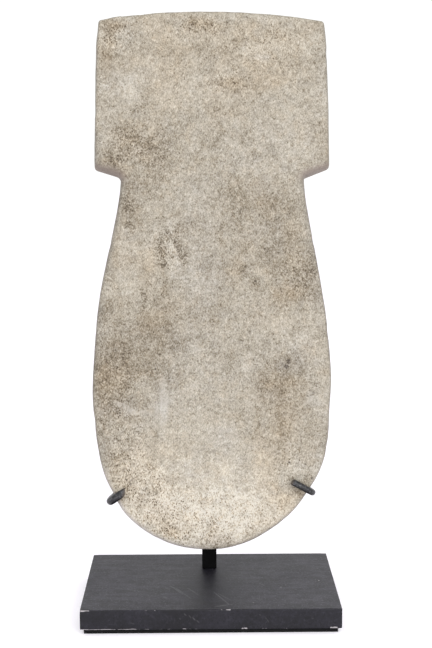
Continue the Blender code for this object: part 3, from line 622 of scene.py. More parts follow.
    # painted shade on the down-facing ledge under each shoulder
    ledge = (1.0 - ease(1.0, 6.5, dist)) * np.exp(-0.5 * ((p[:, 2] - 225.2 - (np.abs(p[:, 0]) - 60) * 0.25) / 2.6) ** 2)
    coarse = patches(COARSE, p, -1.0, noise)
    set_mask(me, "tone", 0.33 * pale - 0.215 * dark)
    set_mask(me, "coarse", coarse)
    set_mask(me, "stain", dark)
    set_mask(me, "warm", warm)
    set_mask(me, "cool", cool)
    set_mask(me, "rim", rim)
    set_mask(me, "edge_painted_light", (1.0 - ease(0.6, 3.4, dist + noise(p, 6.0) * 0.6)) * patches(EDGE_PAINTED_LIGHTS, flat_p, -1.0, noise))
    set_mask(me, "ledge", ledge)
    set_mask(me, "pit", np.clip(pits / 0.22, 0, 1))
    # from the stone's own frame to its place on the stand
    me.transform(Matrix.Translation((0.0, TIP_Y * MM, TIP_Z * MM)) @ Matrix.Rotation(-LEAN, 4, "X"))
    me.update()
    print("stone:", len(me.vertices), "points,", sum(len(f.vertices) - 2 for f in me.polygons), "triangles")
    return ob


# ============================================================================
# 6. Node helpers and materials
# ============================================================================
def linear(r, g, b, scale=1.0):
    """An 8-bit sRGB tone as linear colour, times scale."""
    out = []
    for c in (r, g, b):
        c /= 255.0
        out.append(scale * (c / 12.92 if c <= 0.04045 else ((c + 0.055) / 1.055) ** 2.4))
    return (*out, 1.0)


class Tree:
    def __init__(self, name):
        self.mat = bpy.data.materials.new(name)
        self.mat.use_nodes = True
        self.nt = self.mat.node_tree
        self.shader = self.nt.nodes["Principled BSDF"]
        self.out = self.nt.nodes["Material Output"]
        self.x = -300

    def node(self, kind, **props):
        n = self.nt.nodes.new(kind)
        self.x -= 40
        n.location = (self.x, (self.x * 37) % 900 - 450)
        for k, v in props.items():
            setattr(n, k, v)
        return n

    def wire(self, value, socket):
        if isinstance(value, bpy.types.NodeSocket):
            self.nt.links.new(value, socket)
        else:
            socket.default_value = value

    def math(self, op, a, b=0.5, c=None, clamp=False):
        n = self.node("ShaderNodeMath", operation=op, use_clamp=clamp)
        self.wire(a, n.inputs[0])
        self.wire(b, n.inputs[1])
        if c is not None:
            self.wire(c, n.inputs[2])
        return n.outputs[0]

    def vec(self, op, a, b=None, scale=None):
        n = self.node("ShaderNodeVectorMath", operation=op)
        self.wire(a, n.inputs[0])
        if b is not None:
            self.wire(b, n.inputs[1])
        if scale is not None:
            self.wire(scale, n.inputs["Scale"])
        return n.outputs[0]

    def coords(self):
        """Object coordinates in millimetres."""
        tc = self.node("ShaderNodeTexCoord")
        return self.vec("SCALE", tc.outputs["Object"], scale=1000.0)

    def noise(self, p, scale, detail=2.0, rough=0.5, colour=False, distortion=0.0):
        n = self.node("ShaderNodeTexNoise")
        self.wire(p, n.inputs["Vector"])
        n.inputs["Scale"].default_value = scale
        n.inputs["Detail"].default_value = detail
        n.inputs["Roughness"].default_value = rough
        n.inputs["Distortion"].default_value = distortion
        return n.outputs["Color" if colour else 0]

    def voronoi(self, p, scale, feature="F1", rand=1.0):
        n = self.node("ShaderNodeTexVoronoi", feature=feature)
        self.wire(p, n.inputs["Vector"])
        n.inputs["Scale"].default_value = scale
        n.inputs["Randomness"].default_value = rand
        return n.outputs

    def span(self, x, a, b, lo=0.0, hi=1.0, soft=True):
        n = self.node("ShaderNodeMapRange", interpolation_type="SMOOTHSTEP" if soft else "LINEAR")
        self.wire(x, n.inputs["Value"])
        n.inputs["From Min"].default_value = a
        n.inputs["From Max"].default_value = b
        n.inputs["To Min"].default_value = lo
        n.inputs["To Max"].default_value = hi
        return n.outputs["Result"]

    def mask(self, name):
        n = self.node("ShaderNodeAttribute", attribute_type="GEOMETRY", attribute_name=name)
        return n.outputs["Fac"]

    def ramp(self, x, stops):
        n = self.node("ShaderNodeValToRGB")
        el = n.color_ramp.elements
        while len(el) > 1:
            el.remove(el[-1])
        el[0].position, el[0].color = stops[0]
        for pos, col in stops[1:]:
            e = el.new(pos)
            e.color = col
        self.wire(x, n.inputs["Fac"])
        return n.outputs["Color"]

    def mix(self, fac, a, b, blend="MIX"):
        n = self.node("ShaderNodeMix", data_type="RGBA", blend_type=blend)
        self.wire(fac, n.inputs[0])
        self.wire(a, n.inputs[6])
        self.wire(b, n.inputs[7])
        return n.outputs[2]

    def blend(self, fac, a, b):
        """Number a to number b by fac."""
        n = self.node("ShaderNodeMix", data_type="FLOAT")
        self.wire(fac, n.inputs[0])
        self.wire(a, n.inputs[2])
        self.wire(b, n.inputs[3])
        return n.outputs[0]

    def dot(self, p, axis):
        n = self.node("ShaderNodeVectorMath", operation="DOT_PRODUCT")
        self.wire(p, n.inputs[0])
        n.inputs[1].default_value = axis
        return n.outputs["Value"]

    def far(self, a, b):
        n = self.node("ShaderNodeVectorMath", operation="DISTANCE")
        self.wire(a, n.inputs[0])
        self.wire(b, n.inputs[1])
        return n.outputs["Value"]

    def stroke(self, flat, x0, y0, x1, y1, wide, ragged):
        """1 on a stroke between two points of a plane, 0 beside it; its ends taper."""
        ab = Vector((x1 - x0, y1 - y0, 0.0))
        rel = self.vec("SUBTRACT", flat, (x0, y0, 0.0))
        along = self.math("ADD", self.dot(rel, tuple(ab / ab.length_squared)), 0.0, clamp=True)
        gap = self.far(rel, self.vec("SCALE", tuple(ab), scale=along))
        full = self.math("MULTIPLY", self.math("MULTIPLY", along, 4.0), self.math("SUBTRACT", 1.0, along))
        reach = self.math("MULTIPLY_ADD", self.math("SQRT", full), wide * 0.75, wide * 0.35)
        return self.span(self.math("ADD", self.math("DIVIDE", gap, reach), ragged), 1.2, 0.6)

    def bump(self, height, strength, distance, normal=None):
        n = self.node("ShaderNodeBump")
        n.inputs["Strength"].default_value = strength
        n.inputs["Distance"].default_value = distance
        self.wire(height, n.inputs["Height"])
        if normal is not None:
            self.wire(normal, n.inputs["Normal"])
        return n.outputs["Normal"]


STONE_ALBEDO = 0.578        # the tones below are as lit; this makes them the stone's own
STONE_TONE = 0.505          # middle tone on the ramp


def stone_material():
    t = Tree("speckled_stone")
    m = t.math
    p = t.coords()
    warp = t.vec("SCALE", t.vec("SUBTRACT", t.noise(p, 0.06, 2.0, 0.5, colour=True), (0.5, 0.5, 0.5)), scale=10.0)
    pw = t.vec("ADD", p, warp)
    cloud = t.noise(pw, 0.055, 1.0, 0.5)
    mottle = t.noise(pw, 0.125, 1.0, 0.6)
    lump = t.noise(pw, 0.26, 1.0, 0.6)
    grain = t.noise(p, 0.60, 1.0, 0.6)
    slant = t.node("ShaderNodeMapping")
    slant.inputs["Rotation"].default_value = (0.0, math.radians(38), 0.0)
    slant.inputs["Scale"].default_value = (1.12, 1.0, 0.72)
    t.wire(p, slant.inputs["Vector"])
    fine = t.noise(slant.outputs[0], 1.30, 1.0, 0.8)
    # grains: rounded cells of a harder and a softer mineral
    cells = t.voronoi(p, 1.0)
    cell_tone = t.node("ShaderNodeSeparateColor")
    t.wire(cells["Color"], cell_tone.inputs[0])
    dark_cell = t.math("MULTIPLY", t.span(cell_tone.outputs[0], 0.80, 0.95),
                       t.span(cells["Distance"], 0.60, 0.15))
    lean = t.node("ShaderNodeMapping")
    lean.inputs["Rotation"].default_value = (0.0, math.radians(38), 0.0)
    lean.inputs["Scale"].default_value = (1.45, 1.2, 0.80)
    t.wire(p, lean.inputs["Vector"])
    chips = t.voronoi(lean.outputs[0], 0.95)
    chip_tone = t.node("ShaderNodeSeparateColor")
    t.wire(chips["Color"], chip_tone.inputs[0])
    sliver = t.math("MULTIPLY", t.span(chip_tone.outputs[2], 0.66, 0.90), t.span(chips["Distance"], 0.62, 0.22))
    light_cell = t.math("MULTIPLY", t.span(cell_tone.outputs[1], 0.80, 0.96),
                        t.span(cells["Distance"], 0.60, 0.20))

    shade, stain, warm = t.mask("tone"), t.mask("stain"), t.mask("warm")
    cool, rim, ledge, pit = t.mask("cool"), t.mask("rim"), t.mask("ledge"), t.mask("pit")
    coarse, edge_painted_light = t.mask("coarse"), t.mask("edge_painted_light")
    # the stone's own u and v, for the strokes and specks on its front
    c, s = math.cos(LEAN), math.sin(LEAN)
    own = t.vec("SUBTRACT", p, (0.0, TIP_Y, TIP_Z))
    own_v, own_y = t.dot(own, (0.0, s, c)), t.dot(own, (0.0, c, -s))
    flat = t.node("ShaderNodeCombineXYZ")
    t.wire(t.dot(own, (1.0, 0.0, 0.0)), flat.inputs[0])
    t.wire(own_v, flat.inputs[1])
    flat, front = flat.outputs[0], m("LESS_THAN", own_y, -1.0)
    ragged = m("MULTIPLY", m("SUBTRACT", grain, 0.5), 1.6)
    rub = speck = 0.0
    for u0, v0, u1, v1, wide, amount in STROKES:
        rub = m("MAXIMUM", m("MULTIPLY", t.stroke(flat, u0, v0, u1, v1, wide, ragged), amount), rub)
    for u, v, r, amount in SPECKS:
        dot = m("MULTIPLY", t.span(m("MULTIPLY_ADD", ragged, 0.3 * r, t.far(flat, (u, v, 0.0))), r * 1.35, r * 0.5), amount)
        speck = m("MAXIMUM", dot, speck)
    run = 0.0
    for u0, v0, u1, v1, wide, amount in RUNS:
        run = m("MAXIMUM", m("MULTIPLY", t.stroke(flat, u0, v0, u1, v1, wide, m("MULTIPLY", ragged, 1.6)), amount), run)
    rub, speck, run = m("MULTIPLY", rub, front), m("MULTIPLY", speck, front), m("MULTIPLY", run, front)

    # tone: 0 darkest brown, 1 whitest cream
    tone = m("ADD", shade, STONE_TONE)
    play = m("MULTIPLY", dark_cell, m("MULTIPLY_ADD", coarse, -0.36, -0.26))
    for source, amount in ((cloud, 0.12), (mottle, 0.20), (lump, 0.30), (grain, 0.48), (fine, 1.04)):
        play = m("MULTIPLY_ADD", m("SUBTRACT", source, 0.5), amount, play)
    play = m("MULTIPLY_ADD", light_cell, 0.14, play)
    sliver = m("MULTIPLY", m("MULTIPLY", sliver, coarse), t.span(mottle, 0.40, 0.60, 1.35, 0.45))
    play = m("MULTIPLY_ADD", sliver, -0.42, play)
    tone = m("MULTIPLY_ADD", play, m("MULTIPLY_ADD", coarse, 0.60, 1.0), tone)
    tone = m("MULTIPLY_ADD", coarse, 0.135, tone)
    # the rubbed strokes hide the grain; stain settles between the grains
    hatch = t.node("ShaderNodeMapping")
    hatch.inputs["Scale"].default_value = (1.1, 0.3, 0.10)
    t.wire(p, hatch.inputs["Vector"])
    rub = m("MULTIPLY", rub, t.span(t.noise(hatch.outputs[0], 1.0, 1.0, 0.6), 0.34, 0.58, 0.55, 1.0))
    tone = t.blend(m("MULTIPLY", rub, 0.85), tone, m("ADD", m("MULTIPLY", tone, 0.25), 0.57))
    low_grain = t.span(grain, 0.56, 0.40)
    tone = m("MULTIPLY_ADD", m("MULTIPLY", stain, low_grain), -0.05, tone)
    tone = m("MULTIPLY_ADD", pit, -0.06, tone)
    tone = m("MULTIPLY_ADD", speck, -0.42, tone)
    tone = m("MULTIPLY_ADD", m("MULTIPLY", run, t.span(fine, 0.62, 0.44, 0.25, 1.0)), -0.18, tone)
    # painted shade on the ledges: their tone is pressed darker
    tone = t.blend(m("MULTIPLY", ledge, 0.75, clamp=True), tone, m("ADD", m("MULTIPLY", tone, 0.40), 0.17))

    k = STONE_ALBEDO
    colour = t.ramp(tone, [
        (0.00, linear(90, 79, 66, k)), (0.22, linear(136, 125, 107, k)), (0.40, linear(167, 158, 141, k)),
        (0.55, linear(188, 180, 164, k)), (0.70, linear(206, 198, 182, k)), (0.85, linear(223, 215, 199, k)),
        (1.00, linear(240, 233, 218, k))])
    # pinkish ochre in the warm patches, lilac grey in the cool ones
    colour = t.mix(m("MULTIPLY", stain, 0.30, clamp=True), colour, (1.03, 0.965, 0.91, 1.0), "MULTIPLY")
    hue = t.noise(pw, 0.05, 3.0, 0.6)
    hue2 = t.noise(t.vec("ADD", p, (40.0, 0.0, 90.0)), 0.20, 2.0, 0.55)
    warm_all = m("ADD", m("MULTIPLY", warm, 0.9), m("ADD", t.span(hue, 0.55, 0.72, 0.0, 0.16), t.span(hue2, 0.52, 0.68, 0.0, 0.34)), clamp=True)
    colour = t.mix(warm_all, colour, (1.035, 0.975, 0.90, 1.0), "MULTIPLY")
    cool_all = m("ADD", m("MULTIPLY", cool, 0.9), m("ADD", t.span(hue, 0.46, 0.30, 0.0, 0.16), t.span(hue2, 0.48, 0.32, 0.0, 0.34)), clamp=True)
    colour = t.mix(cool_all, colour, (0.965, 0.99, 1.055, 1.0), "MULTIPLY")
    fleck = m("MULTIPLY_ADD", dark_cell, m("MULTIPLY_ADD", coarse, 0.6, 0.4), sliver, clamp=True)
    colour = t.mix(fleck, colour, (1.08, 0.965, 0.83, 1.0), "MULTIPLY")
    colour = t.mix(m("MULTIPLY", speck, 0.6), colour, (0.92, 0.97, 1.12, 1.0), "MULTIPLY")
    colour = t.mix(m("MULTIPLY", rub, 0.8), colour, (0.995, 1.0, 1.02, 1.0), "MULTIPLY")
    # painted edge shade: the rim mask turns the colour to a darker grey ramp
    rim_shade_colour = t.ramp(tone, [(0.15, linear(112, 107, 98, k)), (0.50, linear(149, 145, 137, k)),
                               (0.85, linear(182, 178, 169, k))])
    colour = t.mix(m("MULTIPLY", rim, 0.88), colour, rim_shade_colour)
    # painted light on the low left edge
    colour = t.mix(m("MULTIPLY", edge_painted_light, 0.85), colour, linear(222, 215, 209, k))
    # painted shade on the ledges under the shoulders
    colour = t.mix(m("MULTIPLY", ledge, 0.45), colour, linear(166, 148, 140, k))
    t.wire(colour, t.shader.inputs["Base Color"])

    rough = m("MULTIPLY_ADD", m("SUBTRACT", grain, 0.5), 0.35, 0.72)
    rough = m("MULTIPLY_ADD", rim, -0.12, rough)
    rough = m("MULTIPLY_ADD", stain, 0.10, rough, clamp=True)
    t.wire(rough, t.shader.inputs["Roughness"])
    t.shader.inputs["Specular IOR Level"].default_value = 0.30

    height = m("MULTIPLY_ADD", fine, 0.60, m("MULTIPLY", grain, 1.0))
    height = m("MULTIPLY_ADD", dark_cell, -0.5, height)
    normal = t.bump(height, 0.60, 0.00024)
    t.wire(normal, t.shader.inputs["Normal"])
    return t.mat


def paint_material(name, tone, roughness, worn_tone, speck=0.25, shine=0.5, vary=0.35, underside_shade=0.0,
                   hammer=1.0, lines=(), front_lines=()):
    """Satin sprayed paint: fine orange peel, dust, faint rubs and bare spots from
    the worn mask. lines are single scratches on the top, front_lines on the front:
    from x, y (or z) to x, y (or z), half width, strength."""
    t = Tree(name)
    m = t.math
    p = t.coords()
    cloud = t.noise(p, 0.035, 3.0, 0.6)
    peel = t.noise(p, 1.1, 2.0, 0.5)
    dust = t.noise(p, 0.42, 3.0, 0.7)
    stretch = t.node("ShaderNodeMapping")
    stretch.inputs["Rotation"].default_value = (0.0, 0.0, math.radians(34))
    stretch.inputs["Scale"].default_value = (0.022, 0.9, 0.4)
    t.wire(p, stretch.inputs["Vector"])
    scratch = t.span(t.noise(stretch.outputs[0], 1.0, 2.0, 0.55), 0.685, 0.74)
    scratch = m("MULTIPLY", scratch, t.span(cloud, 0.46, 0.62))
    # single scratches: on the top from above, on the front from the front
    ragged = m("MULTIPLY", m("SUBTRACT", dust, 0.5), 1.4)
    marks = 0.0
    for face, table in (("top", lines), ("front", front_lines)):
        if table:
            plane = t.vec("MULTIPLY", p, (1.0, 1.0, 0.0)) if face == "top" else t.node("ShaderNodeCombineXYZ")
            if face == "front":
                t.wire(t.dot(p, (1.0, 0.0, 0.0)), plane.inputs[0])
                t.wire(m("SUBTRACT", t.dot(p, (0.0, 0.0, 1.0)), BASE_Z0 + BASE_T / 2), plane.inputs[1])
                plane = plane.outputs[0]
            found = 0.0
            for x0, y0, x1, y1, wide, amount in table:
                found = m("MAXIMUM", m("MULTIPLY", t.stroke(plane, x0, y0, x1, y1, wide, ragged), amount), found)
            marks = m("MULTIPLY_ADD", found, t.mask(face), marks)
    worn = t.mask("worn")
    bare = t.span(m("MULTIPLY_ADD", m("SUBTRACT", dust, 0.5), 1.1, worn), 0.62, 0.80)
    smear = t.math("MULTIPLY_ADD", t.math("SUBTRACT", dust, 0.5), 0.8, cloud)
    base = t.mix(t.span(smear, 0.30, 0.70), tuple(c * (1 - vary) for c in tone[:3]) + (1,),
                 tuple(c * (1 + vary) for c in tone[:3]) + (1,))
    base = t.mix(m("MULTIPLY", t.span(dust, 0.55, 0.70), speck), base, tuple(c * 2.2 + 0.012 for c in tone[:3]) + (1,))
    base = t.mix(m("MULTIPLY", scratch, 0.45), base, tuple(c * 2.4 + 0.02 for c in tone[:3]) + (1,))
    base = t.mix(marks, base, (0.120, 0.118, 0.126, 1.0))
    if lines:
        # dust wiped from side to side over the top; it thins out in the middle in front of the post, which paints the
        # shade and reflection of the post and stone there
        wipe = t.node("ShaderNodeMapping")
        wipe.inputs["Scale"].default_value = (0.05, 0.34, 0.5)
        t.wire(p, wipe.inputs["Vector"])
        film = m("MULTIPLY_ADD", t.noise(wipe.outputs[0], 1.0, 3.0, 0.6), 0.6, m("MULTIPLY", t.noise(p, 0.16, 3.0, 0.65), 0.5))
        grit = t.noise(p, 0.95, 2.0, 0.7)
        base = t.mix(t.span(grit, 0.47, 0.33, 0.0, 0.65), base, (0.001, 0.001, 0.0016, 1.0))
        dust_film_less_in_painted_shade = m("MULTIPLY", t.mask("top"), t.span(t.far(t.vec("MULTIPLY", p, (1.0, 0.35, 0.0)), (-1.0, -5.0, 0.0)), 6.0, 30.0, 0.30, 1.0))
        base = t.mix(m("MULTIPLY", t.span(film, 0.44, 0.68), dust_film_less_in_painted_shade), base, (0.028, 0.026, 0.036, 1.0))
        base = t.mix(m("MULTIPLY", t.span(grit, 0.54, 0.70, 0.0, 0.9), dust_film_less_in_painted_shade), base, (0.074, 0.070, 0.086, 1.0))
    base = t.mix(bare, base, worn_tone)
    if underside_shade:
        # forged skin: light and dark blotches, the light ones partly painted glints; painted shade darkens the side
        # that faces down
        blotch = m("MULTIPLY_ADD", t.noise(p, 1.3, 1.0, 0.6), 0.4, m("MULTIPLY", t.noise(p, 0.55, 2.0, 0.7), 0.6))
        base = t.mix(t.span(blotch, 0.43, 0.59), (0.0050, 0.0052, 0.0056, 1.0), base)
        base = t.mix(t.span(blotch, 0.53, 0.64, 0.0, 0.80), base, (0.092, 0.091, 0.095, 1.0))
        base = t.mix(m("MULTIPLY", t.mask("underside_shade"), underside_shade), base, (0.003, 0.003, 0.003, 1.0))
        # the filed cut end turns brown: partly bare metal, partly a painted reflection of the stone
        base = t.mix(m("MULTIPLY", t.mask("cut"), t.span(dust, 0.35, 0.60, 0.45, 1.0)), base, (0.074, 0.058, 0.046, 1.0))
    t.wire(base, t.shader.inputs["Base Color"])
    rough = m("MULTIPLY_ADD", m("SUBTRACT", cloud, 0.5), 0.12, roughness)
    rough = m("MULTIPLY_ADD", m("SUBTRACT", dust, 0.5), 0.10, rough)
    rough = m("MULTIPLY_ADD", bare, 0.20, rough)
    t.wire(rough, t.shader.inputs["Roughness"])
    height = m("MULTIPLY_ADD", scratch, -0.5, peel)
    height = m("MULTIPLY_ADD", bare, -1.2, height)
    t.wire(t.bump(height, min(1.0, 0.18 * hammer), 0.00008 * math.sqrt(hammer)), t.shader.inputs["Normal"])
    t.shader.inputs["Specular IOR Level"].default_value = shine
    return t.mat


def felt_material():
    t = Tree("black_felt")
    m = t.math
    p = t.coords()
    fuzz = t.noise(p, 2.6, 3.0, 0.75)
    lump = t.noise(p, 0.35, 2.0, 0.5)
    col = t.ramp(m("MULTIPLY_ADD", m("SUBTRACT", lump, 0.5), 0.6, fuzz), [
        (0.30, (0.0016, 0.0016, 0.0018, 1)), (0.55, (0.004, 0.004, 0.0044, 1)), (0.80, (0.011, 0.0105, 0.011, 1))])
    t.wire(col, t.shader.inputs["Base Color"])
    t.wire(t.span(fuzz, 0.2, 0.8, 0.86, 1.0), t.shader.inputs["Roughness"])
    t.shader.inputs["Sheen Weight"].default_value = 0.04
    t.shader.inputs["Specular IOR Level"].default_value = 0.2
    t.wire(t.bump(fuzz, 0.8, 0.0003), t.shader.inputs["Normal"])
    return t.mat


# ============================================================================
# 7. The stand
# ============================================================================
def lines_for(half, r, step, extra=4, fine=False):
    """Positions across a face: close together on the rounded edges."""
    flat = half - r
    count = max(1, int(round(2 * flat / step)))
    mid = np.linspace(-flat, flat, count + 1)
    if fine:                             # closer lines beside the edge
        mid = np.concatenate([mid[:1], [-flat + 0.35, -flat + 0.8], mid[1:-1], [flat - 0.8, flat - 0.35], mid[-1:]])
    a = np.tan(np.linspace(0, math.pi / 4, extra + 1)[1:]) * r
    return np.concatenate([-(flat + a)[::-1], mid, flat + a])


def rounded_box(name, size, centre, r, steps, relief=None, fine=False):
    """A block with rounded edges, made from six nets pressed onto its form."""
    half = np.array(size) / 2.0
    axes = [lines_for(half[i], r, steps[i], fine=fine) for i in range(3)]
    verts, faces, seen = [], [], {}

    def vert(x, y, z):
        key = (round(x, 4), round(y, 4), round(z, 4))
        if key not in seen:
            seen[key] = len(verts)
            verts.append((x, y, z))
        return seen[key]

    for axis in range(3):
        i, j = (axis + 1) % 3, (axis + 2) % 3
        for sign in (-1.0, 1.0):
            grid = []
            for a in axes[i]:
                row = []
                for b in axes[j]:
                    q = [0.0, 0.0, 0.0]
                    q[axis], q[i], q[j] = sign * half[axis], a, b
                    row.append(vert(*q))
                grid.append(row)
            for a in range(len(axes[i]) - 1):
                for b in range(len(axes[j]) - 1):
                    f = (grid[a][b], grid[a + 1][b], grid[a + 1][b + 1], grid[a][b + 1])
                    faces.append(f if sign > 0 else f[::-1])
    v = np.array(verts)
    core = np.clip(v, -(half - r), half - r)
    out = v - core
    out /= np.linalg.norm(out, axis=1, keepdims=True)
    v = core + out * r
    if relief is not None:
        v = v + out * relief(v, out)[:, None]
    ob = new_object(name, (v + np.array(centre)) * MM, faces)
    return ob, v, out


# bare spots on the block: x, y, z (from the block's centre), radius, strength
WORN_SPOTS = (
    # upper front edge
    (-75.6, -50.4, 5.8, 3.0, 1.00), (-73.2, -50.7, 6.0, 2.6, 0.95), (-71.4, -50.7, 6.0, 1.6, 0.80),
    (-37.8, -50.7, 6.0, 2.4, 0.62), (-33.2, -50.7, 6.0, 2.4, 0.62), (7.5, -50.6, 6.0, 2.4, 0.62),
    (9.8, -50.6, 6.0, 1.8, 0.86), (75.6, -50.4, 5.8, 2.0, 0.50),
    # lower front edge: one long rubbed line on the left, then single nicks
    (-74.0, -50.6, -5.9, 3.5, 0.98), (-69.5, -50.8, -5.9, 3.6, 0.86), (-65.0, -50.8, -5.9, 3.2, 0.80),
    (-61.5, -50.8, -5.9, 2.8, 0.92), (-58.0, -50.8, -5.9, 2.8, 0.86), (-53.5, -50.8, -5.9, 2.2, 0.80),
    (-51.2, -50.8, -5.9, 2.4, 0.95), (-47.2, -50.8, -5.9, 2.6, 1.00), (-45.0, -50.8, -5.9, 2.2, 0.98),
    (-39.0, -50.8, -5.9, 5.0, 0.66), (-28.0, -50.8, -5.9, 6.0, 0.62), (-15.5, -50.8, -5.7, 1.5, 0.90),
    (-13.0, -50.8, -5.3, 1.4, 0.72), (-5.0, -50.8, -5.9, 7.0, 0.58), (8.0, -50.8, -5.9, 6.0, 0.56),
    (18.3, -50.8, -5.6, 0.9, 0.85), (20.3, -50.8, -5.6, 1.1, 1.00), (31.0, -50.8, -5.8, 5.0, 0.56),
    (43.0, -50.8, -5.8, 6.0, 0.54), (52.0, -50.8, -5.2, 4.5, 0.52), (62.0, -50.8, -5.9, 5.0, 0.56),
    (70.6, -50.7, -5.5, 1.5, 0.90), (72.6, -50.6, -5.4, 1.4, 0.95), (75.4, -50.2, -5.0, 1.4, 0.85),
    # front face and corners
    (-76.0, -50.4, 0.0, 2.0, 0.45), (75.9, -50.2, 0.0, 4.5, 0.48),
    (76.1, -20.0, 5.8, 5.0, 0.50), (-76.1, 10.0, 5.8, 6.0, 0.48), (30.0, 50.7, 5.8, 5.0, 0.46),
    (-60.0, 50.7, -5.9, 7.0, 0.62), (70.0, 50.6, -5.9, 6.0, 0.62), (-76.0, -10.0, -5.9, 8.0, 0.58),
    (76.0, 30.0, -5.9, 8.0, 0.58), (74.0, 50.2, 5.6, 2.5, 0.70), (5.0, 50.7, -5.9, 5.0, 0.50),
    (-75.0, 50.4, 5.6, 2.2, 0.62), (76.0, 8.0, -5.9, 5.0, 0.50), (-30.0, 50.7, 5.8, 3.0, 0.50),
    # specks on the top
    (66.8, -2.4, 6.0, 1.1, 0.90), (42.7, -13.5, 6.0, 1.0, 0.76), (31.4, -8.9, 6.0, 0.9, 0.70),
    (25.0, -39.7, 6.0, 1.0, 0.80), (-40.6, 2.7, 6.0, 0.9, 0.70), (15.3, -3.0, 6.0, 0.8, 0.62),
    (-2.3, -39.9, 6.0, 0.8, 0.62), (46.4, -40.9, 6.0, 0.8, 0.62), (-58.0, -26.0, 6.0, 0.7, 0.60),
    (-12.0, 32.0, 6.0, 0.8, 0.62), (52.0, 34.0, 6.0, 0.8, 0.60),
)
# single scratches on its top: x0, y0, x1, y1, half width, strength
BLOCK_LINES = (
    (-24.5, -10.0, -16.5, -25.0, 0.60, 0.40), (-27.5, -13.0, -25.0, -17.0, 0.60, 0.40),
    (-28.5, -28.0, -26.0, -32.0, 0.70, 0.45), (-14.0, -14.0, -7.0, -27.0, 0.45, 0.30),
    (1.7, -21.0, 10.8, -43.0, 0.45, 0.42), (4.5, -24.0, 12.0, -36.0, 0.45, 0.30),
    (2.0, -46.0, 13.0, -42.0, 0.50, 0.45), (36.0, -24.0, 52.0, -30.0, 0.35, 0.30),
    (-62.0, -12.0, -40.0, -20.0, 0.35, 0.30), (-50.0, 20.0, -22.0, 27.0, 0.35, 0.30),
    (20.0, 22.0, 44.0, 12.0, 0.35, 0.30), (-21.0, -14.0, -12.0, -32.0, 0.45, 0.40),
    (24.0, -30.0, 31.0, -36.0, 0.40, 0.35), (30.0, -6.0, 33.0, -11.0, 0.45, 0.40),
)
# and on its front: x and height from its middle
FRONT_LINES = (
    (-15.8, 3.8, -14.4, 2.4, 0.34, 0.20), (-13.0, 2.8, -11.6, 0.9, 0.34, 0.20), (-10.8, 1.4, -9.2, -0.4, 0.38, 0.26),
    (-8.4, -0.4, -7.0, -1.8, 0.34, 0.20), (-18.5, 1.0, -17.6, 0.2, 0.34, 0.14), (31.0, 1.6, 33.6, -2.0, 0.34, 0.14),
    (28.0, 3.0, 28.8, 2.2, 0.34, 0.14), (-47.0, -1.6, -44.5, -2.4, 0.34, 0.12), (58.0, 0.6, 59.6, 0.0, 0.34, 0.12),
)


def build_base():
    noise = Lumps(31)

    def relief(v, out):
        edge = np.abs(out).max(1) < 0.985            # on a rounded edge
        r = noise(v, 34.0) * 0.05 + noise(v, 9.0) * 0.02
        r += np.where(edge, noise(v, 5.0) * 0.05 - 0.03, 0.0)
        for x, y, z, rad, amount in WORN_SPOTS:
            if rad > 1.2 and amount > 0.6:
                q = np.linalg.norm(v - (x, y, z), axis=1) / min(rad, 2.4)
                r -= 0.14 * amount * np.clip(1 - q * q, 0, 1)
        return np.minimum(r, 0.0) - 0.0

    ob, v, out = rounded_box("stand_block", (BASE_W - 0.02, BASE_D - 0.02, BASE_T), (0, 0, BASE_Z0 + BASE_T / 2),
                             0.5, (0.9, 1.3, 1.1), relief, fine=True)
    worn = np.zeros(len(v))
    for x, y, z, rad, amount in WORN_SPOTS:
        far = v - (x, y, z)
        q = np.linalg.norm(far, axis=1) / rad
        if abs(y) > 50:                  # a rub keeps close to its edge
            q = np.maximum(q, np.linalg.norm(far[:, 1:], axis=1) / 0.62)
        worn = np.maximum(worn, amount * np.clip(1.55 - q, 0, 1))
    edge = np.clip((0.995 - np.abs(out).max(1)) / 0.25, 0, 1)
    worn = np.maximum(worn, edge * (0.44 + 0.14 * noise(v, 16.0)))
    set_mask(ob.data, "worn", np.clip(worn, 0, 1))
    set_mask(ob.data, "top", ease(0.6, 0.95, out[:, 2]))
    set_mask(ob.data, "front", ease(0.6, 0.95, -out[:, 1]))
    ob.data.materials.append(paint_material("block_paint", (0.0074, 0.0069, 0.0108), 0.48, linear(146, 142, 144), 0.26, 0.26, 0.38,
                                            hammer=2.5, lines=BLOCK_LINES, front_lines=FRONT_LINES))
    return ob


def build_felt():
    noise = Lumps(41)

    def relief(v, out):
        side = np.clip(1.0 - np.abs(out[:, 2]) * 1.2, 0, 1)
        return side * (noise(v, 6.0) * 0.22 + noise(v, 2.0) * 0.12) - 0.01

    ob, v, out = rounded_box("felt_pad", (BASE_W - 2 * FELT_INSET - 0.3, BASE_D - 2 * FELT_INSET - 0.3, FELT_T),
                             (0, 0, FELT_T / 2), 0.35, (1.6, 1.6, 0.5), relief)
    ob.data.materials.append(felt_material())
    return ob


def build_post():
    noise = Lumps(51)
    lo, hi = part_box("stand_post")
    lo, hi = np.array(lo) / MM, np.array(hi) / MM

    def relief(v, out):
        edge = np.clip((0.99 - np.abs(out).max(1)) / 0.25, 0, 1)
        return np.minimum(noise(v, 22.0) * 0.04 + noise(v, 5.0) * 0.02 + edge * (noise(v, 4.0) * 0.05 - 0.03), 0.0)

    ob, v, out = rounded_box("post", hi - lo, (lo + hi) / 2, 0.55, (1.1, 1.1, 2.2), relief)
    edge = np.clip((0.99 - np.abs(out).max(1)) / 0.25, 0, 1)
    set_mask(ob.data, "worn", edge * (0.20 + 0.12 * noise(v, 12.0)))
    # near black: the post's black paint, darkened further as painted shade from the stone above it
    ob.data.materials.append(paint_material("post_paint", (0.0022, 0.0022, 0.0024), 0.55, linear(60, 59, 60), 0.06, 0.05))
    return ob


